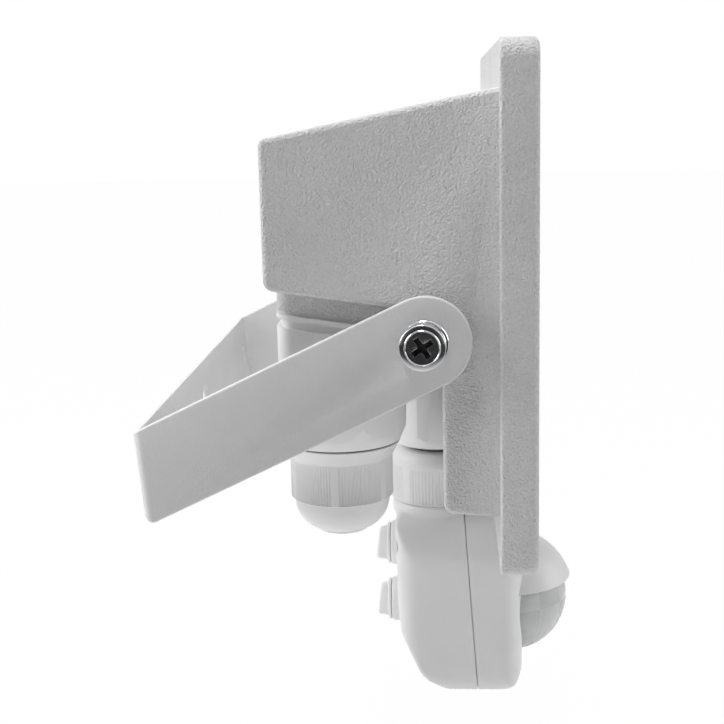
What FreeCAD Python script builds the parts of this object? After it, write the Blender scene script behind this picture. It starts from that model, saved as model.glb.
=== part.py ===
import FreeCAD, Part
import math
import os

# Motion sensor floodlight: a cast lamp body on a folded wall bracket, with a
# cable box, a cable gland and a swivelling motion sensor underneath.
# Millimetres, Z up, the lamp faces -Y, origin on the wall face of the bracket.

V = FreeCAD.Vector

# Wall bracket
bracket_sheet = 2.0
bracket_bend = 2.6
plate_height = 26.7
plate_lean = 4.77
bracket_reach = 81.4
bracket_rise = 30.55
arm_end_radius = 12.5
arm_corner = 2.5
plate_corner = 1.0
centre_hole_radius = 5.5
side_hole_radius = 2.75
side_hole_inset = 11.0

# Pivot screws
pivot_shank_radius = 3.0
pivot_head_radius = 6.1
pivot_head_height = 4.2
pivot_head_round = 1.35
pivot_screw_length = 16.0
flat_washer_radius = 6.6
flat_washer_thickness = 1.2
spring_washer_radius = 5.6
spring_washer_thickness = 1.8
spring_washer_slit = 0.8
recess_width = 1.5
recess_span = 7.0
recess_depth = 2.4
recess_turn = 28.0

# Front frame of the lamp
pivot_to_frame = 19.7
pivot_below_top = 77.9
frame_step = 4.0
frame_height = 143.8
frame_depth = 10.3
frame_corner = 5.5
frame_edge = 2.0
frame_back_edge = 0.8
frame_border = 8.0
glass_thickness = 3.0
glass_recess = 0.4
glass_clearance = 0.3
glass_corner = 5.0
chamber_corner = 3.0
seal_width = 4.0
seal_thickness = 0.8
frame_back_wall = 2.5

# Rear box and lower rear body of the casting
body_width = 180.0
box_depth = 62.7
box_top_drop = 12.4
box_top_slope = 10.86
box_back_height = 39.6
box_under_slope = 8.27
box_corner = 2.0
box_low_corner = 3.0
body_edge = 1.5
body_wall = 3.0
lower_depth = 15.3
lower_raise = 16.4
lower_slope = 4.9
lower_wall = 3.5
divider = 3.5
channel_width = 44.0
channel_play = 0.5
channel_height = 36.5
pad_radius = 11.0
pad_rise = 2.0
pad_depth = 10.0
neck_height = 8.6
neck_inset = 0.5
neck_side_inset = 20.4
neck_wall = 3.0
neck_corner = 4.0

# Light source
board_thickness = 1.6
board_margin = 6.0
board_screw_inset = 12.0
board_screw_rise = 20.0
board_screw_drop = 14.0
led_columns = 8
led_rows = 5
led_side = 22.5
led_pitch_z = 18.0
led_width = 3.5
led_height = 2.8
led_thickness = 0.7
reflector_thickness = 1.4
reflector_margin = 1.0
reflector_window = 9.0
small_screw_radius = 1.5
small_head_radius = 2.8
small_head_height = 0.8
small_screw_length = 9.0
small_boss_radius = 4.0

# Driver
driver_width = 130.0
driver_height = 34.0
driver_standoff = 3.0
driver_hole_inset = 5.5
transformer_size = (24.0, 17.0, 21.0)
winding_size = (27.0, 12.0, 13.0)
transformer_x = -8.0
capacitor_radius = 6.5
capacitor_length = 21.0
capacitor_drop = 4.5
capacitor_insets = (43.0, 28.5)
coil_radius = 7.0
coil_length = 9.0
coil_hole_radius = 2.8
coil_inset = 29.0
bridge_size = (15.0, 4.0, 11.0)
bridge_inset = 12.0

# Cable box cover under the rear box
cover_side_step = 1.0
cover_front_gap = 0.5
cover_back_step = 0.3
cover_corner = 5.0
cover_wall = 2.5
cover_seal = 0.8
cover_ledge = 1.2
cover_groove = 2.6
cover_groove_inset = 1.5
cover_body_height = 12.0
cover_screw_side = 6.5
cover_screw_inset = 9.0
cover_column_radius = 4.2
cover_screw_radius = 1.75
cover_head_radius = 3.2
cover_head_height = 2.2
cover_head_sink = 0.6
head_play = 0.3
cover_screw_grip = 9.0
terminal_size = (34.0, 18.0, 15.0)
terminal_pole_radius = 2.6
terminal_pole_pitch = 10.0
terminal_pole_depth = 5.5
terminal_x = 26.0
terminal_setback = 3.0

# Mains cable gland
gland_x = -42.0
gland_before_box_back = 15.7
gland_spout_apothem = 20.0
gland_spout_foot = 18.5
gland_seam_below_pivot = 38.7
gland_spout_rise = 28.0
foot_flare = 0.417
gland_tube_radius = 12.0
gland_tube_bore = 9.0
gland_tube_length = 14.5
gland_washer_thickness = 0.5
gland_collar_height = 4.6
gland_collar_top = 18.3
gland_collar_low = 15.6
gland_nut_radius = 15.8
gland_rib_height = 12.8
gland_rib_depth = 0.5
gland_rib_groups = 8
gland_group_ribs = 7
smooth_share = 0.22
gland_dome_height = 11.0
gland_dome_flat = 7.5
gland_dome_fullness = 0.6
gland_mouth_radius = 6.0
gland_cable_radius = 4.5
gland_claw_height = 6.0
gland_seal_plug = 6.0

# Sensor spout, ball stud and clamp nut
sensor_behind_frame = 18.0
spout_apothem = 15.0
spout_foot = 13.6
spout_flare = 0.584
spout_end_below_pivot = 50.9
spout_rise = 36.0
spout_floor = 3.0
spout_bore = 9.8
ball_radius = 8.5
ball_below_spout = 12.1
ball_play = 0.3
stud_stem_radius = 5.5
stud_thread_radius = 7.0
wire_bore = 2.5
ring_outer_radius = 11.0
ring_low = 1.0
ring_high = 5.5
nut_radius = 15.5
nut_gap = 2.0
nut_height = 17.2
nut_shoulder = 4.0
nut_mouth_radius = 8.5
nut_smooth_top = 1.0
nut_rib_depth = 0.55
nut_rib_groups = 6
nut_group_ribs = 9
cup_radius = 13.0
running_play = 0.05

# Motion sensor head
head_width = 48.0
head_collar_radius = 15.2
head_collar_height = 3.0
head_top_gap = 3.3
head_height = 60.8
head_front = 28.0
head_back = 14.0
head_wall = 2.0
head_side_round = 8.0
head_seam_top = 9.1
head_seam_foot = 13.2
head_front_round = 10.0
head_brow_round = 6.0
head_rear_round = 2.5
head_rear_steps = (1.2, 8.6, 18.5)
head_rear_drops = (38.0, 54.4)
lens_radius = 19.5
lens_wall = 1.0
lens_back = 3.5
lens_below_top = 32.4
lens_flange = 2.0
lens_play = 0.2
hood_radius = 22.0
hood_wall = 1.7
hood_slope = 2.0
hood_edge_rise = 6.8
knob_radius = 6.6
knob_plate = 1.6
knob_grip_width = 3.4
knob_grip_length = 13.6
knob_grip_height = 4.0
knob_stem_radius = 2.5
knob_stem_length = 7.0
knob_boss_radius = 7.6
knob_boss_height = 2.3
knob_drops = (14.3, 34.8)
pot_size = (10.0, 4.6, 9.6)
control_board_size = (34.0, 1.6, 44.0)
detector_radius = 4.6
detector_height = 4.4
sensor_board_width = 36.0
sensor_board_foot = 4.4
sensor_board_below_top = 14.4
sensor_board_gap = 3.2
control_board_drop = 25.5
relay_drop = 30.0
light_cell_radius = 2.5
light_cell_height = 2.0
light_cell_rise = 8.4
relay_size = (19.0, 12.0, 15.5)
spacer_radius = 1.6
spacer_x = 12.5
spacer_drops = (18.0, 45.0)
head_screw_x = 17.5
head_screw_drops = (9.0, 52.0)
head_post_radius = 3.2
head_screw_head = 2.6
head_screw_head_height = 1.8
head_screw_sink = 1.5

# Places that follow from the sizes above
bracket_width = body_width + 2 * (pad_rise + bracket_sheet)
side_hole_offset = bracket_width / 2 - side_hole_inset
frame_width = body_width + 2 * frame_step
neck_width = body_width - 2 * neck_side_inset
cover_width = neck_width + 2 * cover_side_step
cover_screw_x = neck_width / 2 - cover_screw_side
coil_x = coil_inset - driver_width / 2
bridge_x = bridge_inset - driver_width / 2
capacitor_xs = [driver_width / 2 - inset for inset in capacitor_insets]
lean = math.radians(plate_lean)
pivot_y = -bracket_reach * math.cos(lean) + bracket_rise * math.sin(lean)
pivot_z = bracket_reach * math.sin(lean) + bracket_rise * math.cos(lean)
frame_back = pivot_y - pivot_to_frame
frame_front = frame_back - frame_depth
frame_top = pivot_z + pivot_below_top
frame_bottom = frame_top - frame_height
glass_front = frame_front + glass_recess
glass_back = glass_front + glass_thickness
ledge_y = glass_back + seal_thickness
chamber_floor = frame_back - frame_back_wall
chamber_half = frame_width / 2 - frame_border - seal_width
led_pitch_x = 2 * (chamber_half - led_side) / (led_columns - 1)
chamber_bottom = frame_bottom + frame_border + seal_width
chamber_top = frame_top - frame_border - seal_width
board_front = chamber_floor - board_thickness
reflector_front = board_front - reflector_thickness
box_back = frame_back + box_depth
lower_back = frame_back + lower_depth
lower_bottom = frame_bottom + lower_raise
box_inner_front = chamber_floor + divider
seam_z = pivot_z - gland_seam_below_pivot
gland_y = box_back - gland_before_box_back
sensor_y = frame_back + sensor_behind_frame
spout_z = pivot_z - spout_end_below_pivot
ball_z = spout_z - ball_below_spout
nut_top = spout_z - nut_gap
nut_bottom = nut_top - nut_height
head_top = nut_bottom - head_top_gap
head_bottom = head_top - head_height
head_face = sensor_y - head_front
head_rear = sensor_y + head_back
lens_z = head_top - lens_below_top
lens_y = head_face + lens_back
board_screw_x = chamber_half - board_screw_inset
board_screw_zs = (chamber_bottom + board_screw_rise, chamber_top - board_screw_drop)
cover_back = box_back - cover_back_step
cover_front = lower_back + cover_front_gap


def box_top_at(y):
    drop = math.tan(math.radians(box_top_slope)) * (y - frame_back)
    return frame_top - box_top_drop - drop


box_back_top = box_top_at(box_back)
box_back_bottom = box_back_top - box_back_height


def underside_at(y):
    drop = math.tan(math.radians(box_under_slope)) * (box_back - y)
    return box_back_bottom - drop


# Basic solids
def block(x0, x1, y0, y1, z0, z1):
    return Part.makeBox(x1 - x0, y1 - y0, z1 - z0, V(x0, y0, z0))


def centred_block(size, x, y, z):
    wide, deep, high = size
    return Part.makeBox(wide, deep, high, V(x - wide / 2, y - deep / 2, z - high / 2))


def rod_z(radius, z0, z1, x, y):
    return Part.makeCylinder(radius, z1 - z0, V(x, y, z0), V(0, 0, 1))


def rod_y(radius, y0, y1, x, z):
    return Part.makeCylinder(radius, y1 - y0, V(x, y0, z), V(0, 1, 0))


def rod_x(radius, x0, x1, y, z):
    return Part.makeCylinder(radius, x1 - x0, V(x0, y, z), V(1, 0, 0))


def outline_edges(corners, place):
    """Edges of a closed outline from (a, b, radius) corners, put in space by place(a, b)."""
    points = [place(a, b) for a, b, radius in corners]
    starts = []
    ends = []
    edges = []
    for index, (a, b, radius) in enumerate(corners):
        corner = points[index]
        before = (points[index - 1] - corner).normalize()
        after = (points[(index + 1) % len(corners)] - corner).normalize()
        if radius == 0:
            starts.append(corner)
            ends.append(corner)
            continue
        half = before.getAngle(after) / 2
        back = radius / math.tan(half)
        middle_way = (before + after).normalize()
        starts.append(corner + before * back)
        ends.append(corner + after * back)
        top = corner + middle_way * (radius / math.sin(half) - radius)
        edges.append(Part.Arc(starts[-1], top, ends[-1]).toShape())
    for index in range(len(corners)):
        start = ends[index]
        end = starts[(index + 1) % len(corners)]
        if start.distanceToPoint(end) > 1e-6:
            edges.append(Part.makeLine(start, end))
    return edges


def filled(edges):
    return Part.Face(Part.Wire(Part.__sortEdges__(edges)))


def side_solid(corners, x0, x1):
    """A (y, z, radius) outline pushed along X."""
    face = filled(outline_edges(corners, lambda y, z: V(x0, y, z)))
    return face.extrude(V(x1 - x0, 0, 0))


def front_solid(corners, y0, y1):
    """An (x, z, radius) outline pushed along Y."""
    face = filled(outline_edges(corners, lambda x, z: V(x, y0, z)))
    return face.extrude(V(0, y1 - y0, 0))


def top_solid(corners, z0, z1):
    """An (x, y, radius) outline pushed along Z."""
    face = filled(outline_edges(corners, lambda x, y: V(x, y, z0)))
    return face.extrude(V(0, 0, z1 - z0))


def rounded_rectangle(a0, a1, b0, b1, radius):
    return [(a0, b0, radius), (a1, b0, radius), (a1, b1, radius), (a0, b1, radius)]


def turned(profile, x, y, z):
    """A (radius, height) profile turned about the upright line through x, y."""
    points = [V(x + radius, y, z + height) for radius, height in profile]
    wire = Part.makePolygon(points + [points[0]])
    return Part.Face(wire).revolve(V(x, y, z), V(0, 0, 1), 360)


def octagon(apothem, z0, z1, x, y):
    reach = apothem / math.cos(math.pi / 8)
    angles = [math.pi / 8 + index * math.pi / 4 for index in range(8)]
    corners = [(x + reach * math.cos(a), y + reach * math.sin(a), 0) for a in angles]
    return top_solid(corners, z0, z1)


def ribbed_rod(radius, depth, groups, ribs, smooth, z0, z1, x, y):
    """A grip: groups of small ribs with a smooth strip between each."""
    corners = []
    group_angle = 2 * math.pi / groups
    rib_angle = group_angle * (1 - smooth) / ribs
    for group in range(groups):
        start = group * group_angle
        for rib in range(ribs):
            angle = start + rib * rib_angle
            for step, reach in ((0.0, radius - depth), (0.3, radius), (0.7, radius)):
                turn = angle + step * rib_angle
                corners.append((x + reach * math.cos(turn), y + reach * math.sin(turn), 0))
        turn = start + ribs * rib_angle
        reach = radius - depth
        corners.append((x + reach * math.cos(turn), y + reach * math.sin(turn), 0))
        for step in (0.12, 0.37, 0.63, 0.88):
            turn = start + ribs * rib_angle + step * group_angle * smooth
            corners.append((x + radius * math.cos(turn), y + radius * math.sin(turn), 0))
    return top_solid(corners, z0, z1)


# Wall bracket: one strip folded into a U, cut to its side outline
def tangent_point(start, centre, radius, side):
    to_centre = centre - start
    distance = to_centre.Length
    swing = side * math.asin(radius / distance)
    reach = math.sqrt(distance ** 2 - radius ** 2) / distance
    y = to_centre.y * math.cos(swing) - to_centre.z * math.sin(swing)
    z = to_centre.y * math.sin(swing) + to_centre.z * math.cos(swing)
    return start + V(0, y, z) * reach


def arm_outline(x):
    centre = V(x, -bracket_reach, bracket_rise)
    top = V(x, 0, plate_height / 2)
    low = V(x, 0, -plate_height / 2)
    top_touch = tangent_point(top, centre, arm_end_radius, -1)
    low_touch = tangent_point(low, centre, arm_end_radius, 1)
    outward = (centre - (top + low) * 0.5).normalize()
    corners = [(top_touch.y, top_touch.z, 0), (low_touch.y, low_touch.z, 0),
               (low.y, low.z, arm_corner), (top.y, top.z, plate_corner)]
    edges = outline_edges(corners, lambda y, z: V(x, y, z))
    straight = [e for e in edges if not is_between(e, top_touch, low_touch)]
    return straight + [Part.Arc(top_touch, centre + outward * arm_end_radius, low_touch).toShape()]


def is_between(edge, a, b):
    middle = (edge.Vertexes[0].Point + edge.Vertexes[-1].Point) * 0.5
    return middle.distanceToPoint((a + b) * 0.5) < 0.01


def lean_back(shape):
    shape.rotate(V(0, 0, 0), V(1, 0, 0), -plate_lean)
    return shape


def mounting_bracket():
    half = bracket_width / 2
    inner = half - bracket_sheet
    tall = bracket_rise + arm_end_radius + plate_height
    far = -(bracket_reach + arm_end_radius + bracket_sheet)
    inner_bend = bracket_bend - bracket_sheet
    outside = top_solid([(-half, far, 0), (half, far, 0), (half, 0, bracket_bend),
                         (-half, 0, bracket_bend)], -tall, tall)
    inside = top_solid([(-inner, far - 1, 0), (inner, far - 1, 0),
                        (inner, -bracket_sheet, inner_bend), (-inner, -bracket_sheet, inner_bend)],
                       -tall, tall)
    strip = outside.cut(inside)
    cutter = filled(arm_outline(-half - 1)).extrude(V(bracket_width + 2, 0, 0))
    bracket = strip.common(cutter)
    hole = pivot_shank_radius + running_play
    bracket = bracket.cut(rod_x(hole, -half - 1, half + 1, -bracket_reach, bracket_rise))
    bracket = bracket.cut(rod_y(centre_hole_radius, -10, 10, 0, 0))
    for x in (-side_hole_offset, side_hole_offset):
        bracket = bracket.cut(rod_y(side_hole_radius, -10, 10, x, 0))
    return lean_back(bracket)


# Pivot hardware, built for the +X side and mirrored for the other
def phillips_recess(x_face):
    arm = block(x_face - recess_depth, x_face + 1, -recess_width / 2, recess_width / 2,
                -recess_span / 2, recess_span / 2)
    other = arm.copy()
    other.rotate(V(0, 0, 0), V(1, 0, 0), 90)
    recess = arm.fuse(other)
    recess.rotate(V(0, 0, 0), V(1, 0, 0), recess_turn)
    recess.translate(V(0, pivot_y, pivot_z))
    return recess


def pivot_stack_start():
    return bracket_width / 2


def pivot_head_seat():
    return pivot_stack_start() + flat_washer_thickness + spring_washer_thickness


def flat_washer(side):
    x0 = pivot_stack_start()
    ring = rod_x(flat_washer_radius, x0, x0 + flat_washer_thickness, pivot_y, pivot_z)
    ring = ring.cut(rod_x(pivot_shank_radius, x0 - 1, x0 + 3, pivot_y, pivot_z))
    return sided(ring, side)


def spring_washer(side):
    x0 = pivot_stack_start() + flat_washer_thickness
    x1 = x0 + spring_washer_thickness
    ring = rod_x(spring_washer_radius, x0, x1, pivot_y, pivot_z)
    ring = ring.cut(rod_x(pivot_shank_radius, x0 - 1, x1 + 1, pivot_y, pivot_z))
    slit = block(x0 - 1, x1 + 1, pivot_y - spring_washer_slit / 2, pivot_y + spring_washer_slit / 2,
                 pivot_z, pivot_z + spring_washer_radius + 1)
    return sided(ring.cut(slit), side)


def pivot_screw(side):
    x0 = pivot_head_seat()
    x1 = x0 + pivot_head_height
    head = rod_x(pivot_head_radius, x0, x1, pivot_y, pivot_z)
    rim = [edge for edge in head.Edges if abs(edge.BoundBox.XMin - x1) < 0.01]
    head = head.makeFillet(pivot_head_round, rim)
    shank = rod_x(pivot_shank_radius, x0 - pivot_screw_length, x0 + 1, pivot_y, pivot_z)
    return sided(head.fuse(shank).removeSplitter().cut(phillips_recess(x1)), side)


def sided(shape, side):
    return shape if side > 0 else shape.mirror(V(0, 0, 0), V(1, 0, 0))


# Lamp casting
def rear_body():
    sink = frame_back - 1.5
    half = body_width / 2
    slope = math.tan(math.radians(lower_slope))
    corners = [(sink, box_top_at(sink), 0),
               (box_back, box_back_top, box_corner),
               (box_back, box_back_bottom, box_low_corner),
               (lower_back, underside_at(lower_back), box_corner),
               (lower_back, lower_bottom + slope * lower_depth, box_low_corner),
               (sink, lower_bottom, 0)]
    body = side_solid(corners, -half, half)
    rims = []
    for edge in body.Edges:
        box = edge.BoundBox
        if box.XLength < 0.01 and box.YMax > sink + 0.01:
            rims.append(edge)
    return body.makeFillet(body_edge, rims)


def front_frame():
    half = frame_width / 2
    corners = rounded_rectangle(-half, half, frame_bottom, frame_top, frame_corner)
    frame = front_solid(corners, frame_front, frame_back)
    rims = [edge for edge in frame.Edges if abs(edge.BoundBox.YMax - frame_front) < 0.01]
    frame = frame.makeFillet(frame_edge, rims)
    rims = [edge for edge in frame.Edges if edge.BoundBox.YMin > frame_back - 0.01]
    return frame.makeFillet(frame_back_edge, rims)


def neck_outline(inset, radius):
    half = neck_width / 2 - inset
    back = box_back - neck_inset - inset
    front = lower_back - 1 if inset == 0 else lower_back + inset
    return rounded_rectangle(-half, half, front, back, radius)


def below_underside(high, low):
    """The layer between two depths under the sloping underside, measured straight down."""
    y0 = lower_back - 20
    y1 = box_back + 20
    corners = [(y0, underside_at(y0) - high, 0), (y1, underside_at(y1) - high, 0),
               (y1, underside_at(y1) - low, 0), (y0, underside_at(y0) - low, 0)]
    return side_solid(corners, -frame_width, frame_width)


def neck():
    column = top_solid(neck_outline(0, neck_corner), 0, box_back_top)
    return column.common(below_underside(-1, neck_height))


def neck_opening():
    column = top_solid(neck_outline(neck_wall, neck_corner - 1.5), 0, box_back_top)
    return column.common(below_underside(-body_wall - 1, neck_height + 5))


def driver_space():
    half = body_width / 2 - body_wall
    back = box_back - body_wall
    corners = [(box_inner_front, box_top_at(box_inner_front) - body_wall, 0),
               (back, box_top_at(back) - body_wall, 0),
               (back, underside_at(back) + body_wall, 0),
               (box_inner_front, underside_at(box_inner_front) + body_wall, 0)]
    space = side_solid(corners, -half, half)
    y0 = box_inner_front
    for x, z in driver_screw_places():
        space = space.cut(rod_y(small_boss_radius, y0 - 1, y0 + driver_standoff, x, z))
    for x, y in cover_screw_places():
        space = space.cut(cover_boss(x, y))
    return space


def lower_pocket(side):
    inner = channel_width / 2 + lower_wall
    outer = body_width / 2 - body_wall
    top = underside_at(box_inner_front) + body_wall - lower_wall
    low = lower_bottom + body_wall
    pocket = block(inner, outer, chamber_floor - 1, lower_back - lower_wall, low, top)
    z = board_screw_zs[0]
    pocket = pocket.cut(rod_y(small_boss_radius, chamber_floor, lower_back, board_screw_x, z))
    return sided(pocket, side)


def sensor_channel():
    half = channel_width / 2
    back = lower_back + 1
    front = sensor_y - spout_apothem - channel_play
    return block(-half, half, front, back, lower_bottom - 2, lower_bottom + channel_height)


def cover_screw_places():
    ys = (cover_front + cover_screw_inset, cover_back - cover_screw_inset)
    return [(x, y) for x in (-cover_screw_x, cover_screw_x) for y in ys]


def cover_boss(x, y):
    top = underside_at(y) + body_wall + 2
    return rod_z(cover_column_radius, underside_at(y) - neck_height - 5, top, x, y)


def driver_screw_places():
    z = (underside_at(box_inner_front) + box_top_at(box_inner_front)) / 2
    x = driver_width / 2 - driver_hole_inset
    rise = driver_height / 2 - driver_hole_inset
    return [(side * x, z + up * rise) for side in (-1, 1) for up in (-1, 1)]


def board_screw_places():
    return [(side * board_screw_x, z) for side in (-1, 1) for z in board_screw_zs]


def lamp_housing():
    half = frame_width / 2
    casting = front_frame().fuse(rear_body()).fuse(neck())
    for side in (-1, 1):
        casting = casting.fuse(pivot_boss(side))
    bosses = pivot_boss(-1).fuse(pivot_boss(1))
    rebate = front_solid(glass_outline(0, glass_corner), frame_front - 1, ledge_y)
    chamber = front_solid(chamber_outline(), frame_front - 1, chamber_floor)
    opening = neck_opening()
    for x, y in cover_screw_places():
        opening = opening.cut(cover_boss(x, y))
    cutters = [rebate, chamber, driver_space().cut(bosses), opening, sensor_channel(),
               lower_pocket(-1).cut(bosses), lower_pocket(1).cut(bosses)]
    for side in (-1, 1):
        tip = pivot_head_seat() - pivot_screw_length
        cutters.append(sided(rod_x(pivot_shank_radius, tip - 1, half + 1, pivot_y, pivot_z), side))
    for x, z in board_screw_places():
        tip = reflector_front + small_screw_length
        cutters.append(rod_y(small_screw_radius, chamber_floor - 1, tip, x, z))
    y0 = box_inner_front
    for x, z in driver_screw_places():
        cutters.append(rod_y(small_screw_radius, y0, y0 + driver_standoff + 1, x, z))
    for x, y in cover_screw_places():
        rim = underside_at(y) - neck_height
        cutters.append(rod_z(cover_screw_radius, rim - 1, rim + cover_screw_grip, x, y))
    for cutter in cutters:
        casting = casting.cut(cutter)
    return casting.removeSplitter()


def pivot_boss(side):
    """Round pad that the arm rests on, carried inward to hold the whole screw."""
    inner = body_width / 2 - body_wall - pad_depth
    return sided(rod_x(pad_radius, inner, body_width / 2 + pad_rise, pivot_y, pivot_z), side)


def glass_outline(clearance, radius):
    half = frame_width / 2 - frame_border - clearance
    return rounded_rectangle(-half, half, frame_bottom + frame_border + clearance,
                             frame_top - frame_border - clearance, radius)


def front_glass():
    corner = glass_corner - glass_clearance
    return front_solid(glass_outline(glass_clearance, corner), glass_front, glass_back)


def chamber_outline():
    return rounded_rectangle(-chamber_half, chamber_half, chamber_bottom, chamber_top, chamber_corner)


def glass_seal():
    corner = glass_corner - glass_clearance
    outer = front_solid(glass_outline(glass_clearance, corner), glass_back, ledge_y)
    inner = front_solid(chamber_outline(), glass_back - 1, ledge_y + 1)
    return outer.cut(inner)


# Light source
def led_places():
    z_middle = (chamber_bottom + chamber_top) / 2
    places = []
    for column in range(led_columns):
        for row in range(led_rows):
            x = (column - (led_columns - 1) / 2) * led_pitch_x
            z = z_middle + (row - (led_rows - 1) / 2) * led_pitch_z
            places.append((x, z))
    return places


def led_board():
    half = chamber_half - board_margin
    low = chamber_bottom + board_margin
    board = block(-half, half, board_front, chamber_floor, low, chamber_top - board_margin)
    for x, z in board_screw_places():
        board = board.cut(rod_y(small_screw_radius, board_front - 1, chamber_floor + 1, x, z))
    return board


def led_chips():
    front = board_front - led_thickness
    middle = (front + board_front) / 2
    return Part.makeCompound([centred_block((led_width, led_thickness, led_height), x, middle, z)
                              for x, z in led_places()])


def reflector():
    half = chamber_half - reflector_margin
    plate = block(-half, half, reflector_front, board_front, chamber_bottom + reflector_margin,
                  chamber_top - reflector_margin)
    window = (reflector_window, reflector_thickness * 3, reflector_window)
    cuts = [centred_block(window, x, board_front, z) for x, z in led_places()]
    for x, z in board_screw_places():
        cuts.append(rod_y(small_screw_radius, reflector_front - 1, board_front + 1, x, z))
    return plate.cut(Part.makeCompound(cuts))


def small_screw(x, z, head_face, length):
    """A screw driven toward +Y with its head on head_face."""
    head = rod_y(small_head_radius, head_face - small_head_height, head_face, x, z)
    shank = rod_y(small_screw_radius, head_face - small_head_height / 2, head_face + length, x, z)
    slot = block(x - small_head_radius, x + small_head_radius, head_face - small_head_height - 1,
                 head_face - small_head_height / 2, z - 0.4, z + 0.4)
    return head.fuse(shank).removeSplitter().cut(slot)


def board_screws():
    return Part.makeCompound([small_screw(x, z, reflector_front, small_screw_length - 0.5)
                              for x, z in board_screw_places()])


# Driver in the rear box
def driver_middle():
    return (underside_at(box_inner_front) + box_top_at(box_inner_front)) / 2


def driver_board():
    y0 = box_inner_front + driver_standoff
    half = driver_width / 2
    z = driver_middle()
    board = block(-half, half, y0, y0 + board_thickness, z - driver_height / 2, z + driver_height / 2)
    for x, screw_z in driver_screw_places():
        board = board.cut(rod_y(small_screw_radius, y0 - 1, y0 + 5, x, screw_z))
    return board


def driver_face():
    return box_inner_front + driver_standoff + board_thickness


def driver_screws():
    screws = []
    face = driver_face()
    for x, z in driver_screw_places():
        head = rod_y(small_head_radius, face, face + 2 * small_head_height, x, z)
        shank = rod_y(small_screw_radius, box_inner_front + 0.5, face + 1, x, z)
        screws.append(head.fuse(shank).removeSplitter())
    return Part.makeCompound(screws)


def driver_transformer():
    wide, deep, high = transformer_size
    face = driver_face()
    z = driver_middle()
    core = centred_block((wide, deep, high), transformer_x, face + deep / 2, z)
    wide, deep, high = winding_size
    winding = centred_block((wide, deep, high), transformer_x, face + deep / 2, z)
    return core.fuse(winding).removeSplitter()


def driver_capacitors():
    face = driver_face()
    z = driver_middle() - capacitor_drop
    return Part.makeCompound([rod_y(capacitor_radius, face, face + capacitor_length, x, z)
                              for x in capacitor_xs])


def driver_coil():
    face = driver_face()
    z = driver_middle()
    coil = rod_y(coil_radius, face, face + coil_length, coil_x, z)
    return coil.cut(rod_y(coil_hole_radius, face + 1.5, face + coil_length + 1, coil_x, z))


def driver_bridge():
    wide, deep, high = bridge_size
    return centred_block((wide, deep, high), bridge_x, driver_face() + deep / 2, driver_middle())


# Cable box cover, its seal and screws
def cover_layer(inset, high, low):
    half = cover_width / 2 - inset
    radius = cover_corner - inset * 0.8
    corners = rounded_rectangle(-half, half, cover_front + inset, cover_back - inset, radius)
    column = top_solid(corners, seam_z - 20, box_back_top)
    return column.common(below_underside(high, low))


def gland_spout():
    top = seam_z + gland_spout_rise
    prism = octagon(gland_spout_apothem, seam_z, top, gland_x, gland_y)
    flare = gland_spout_foot + foot_flare * gland_spout_rise
    cone = turned([(0, 0), (gland_spout_foot, 0), (flare, gland_spout_rise), (0, gland_spout_rise)],
                  gland_x, gland_y, seam_z)
    shoulder = gland_spout_apothem * 0.45
    cap = turned([(0, 0), (flare, 0), (flare, gland_spout_rise - shoulder),
                  (flare - shoulder - 3, gland_spout_rise), (0, gland_spout_rise)], gland_x, gland_y, seam_z)
    return prism.common(cone).common(cap)


def sensor_spout():
    top = spout_z + spout_rise
    prism = octagon(spout_apothem, spout_z, top, 0, sensor_y)
    flare = spout_foot + spout_flare * spout_rise
    cone = turned([(0, 0), (spout_foot, 0), (flare, spout_rise), (0, spout_rise)], 0, sensor_y, spout_z)
    return prism.common(cone)


def cover_depths():
    top = neck_height + cover_seal
    groove = top + cover_ledge
    body = groove + cover_groove
    return top, groove, body, body + cover_body_height


def terminal_cover():
    top, groove, body, end = cover_depths()
    shell = cover_layer(0, top, groove + 0.01)
    shell = shell.fuse(cover_layer(cover_groove_inset, groove, body + 0.01))
    shell = shell.fuse(cover_layer(0, body, end))
    spouts = gland_spout().fuse(sensor_spout())
    tube = rod_z(gland_tube_radius, seam_z - gland_tube_length, seam_z + 1, gland_x, gland_y)
    shell = shell.fuse(spouts).fuse(tube)
    inside = cover_layer(cover_groove_inset + cover_wall, top - 5, end - cover_wall)
    for x, y in cover_screw_places():
        inside = inside.cut(rod_z(cover_column_radius, seam_z - 5, box_back_top, x, y))
    shell = shell.cut(inside)
    bore_top = underside_at(gland_y) - end + 2 * cover_wall
    spout_floor_z = spout_z + spout_floor
    shell = shell.cut(rod_z(gland_tube_bore, seam_z - 30, bore_top, gland_x, gland_y))
    shell = shell.cut(rod_z(spout_bore, spout_floor_z, bore_top, 0, sensor_y))
    shell = shell.cut(rod_z(stud_thread_radius + running_play, spout_z - 1, spout_floor_z + 1, 0, sensor_y))
    for x, y in cover_screw_places():
        low = underside_at(y) - end
        shell = shell.cut(rod_z(cover_screw_radius, low - 5, underside_at(y), x, y))
        sunk = low + cover_head_height + cover_head_sink
        shell = shell.cut(rod_z(cover_head_radius + head_play, low - 5, sunk, x, y))
    return shell.removeSplitter()


def cover_seal_ring():
    seal = cover_layer(cover_groove_inset, neck_height, neck_height + cover_seal)
    seal = seal.cut(cover_layer(cover_groove_inset + cover_wall, neck_height - 1, neck_height + 2))
    lugs = []
    for x, y in cover_screw_places():
        lugs.append(rod_z(cover_column_radius, seam_z, box_back_top, x, y))
    pads = Part.makeCompound(lugs).common(below_underside(neck_height, neck_height + cover_seal))
    seal = seal.fuse(pads)
    for x, y in cover_screw_places():
        seal = seal.cut(rod_z(cover_screw_radius, seam_z, box_back_top, x, y))
    return seal.removeSplitter()


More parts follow.
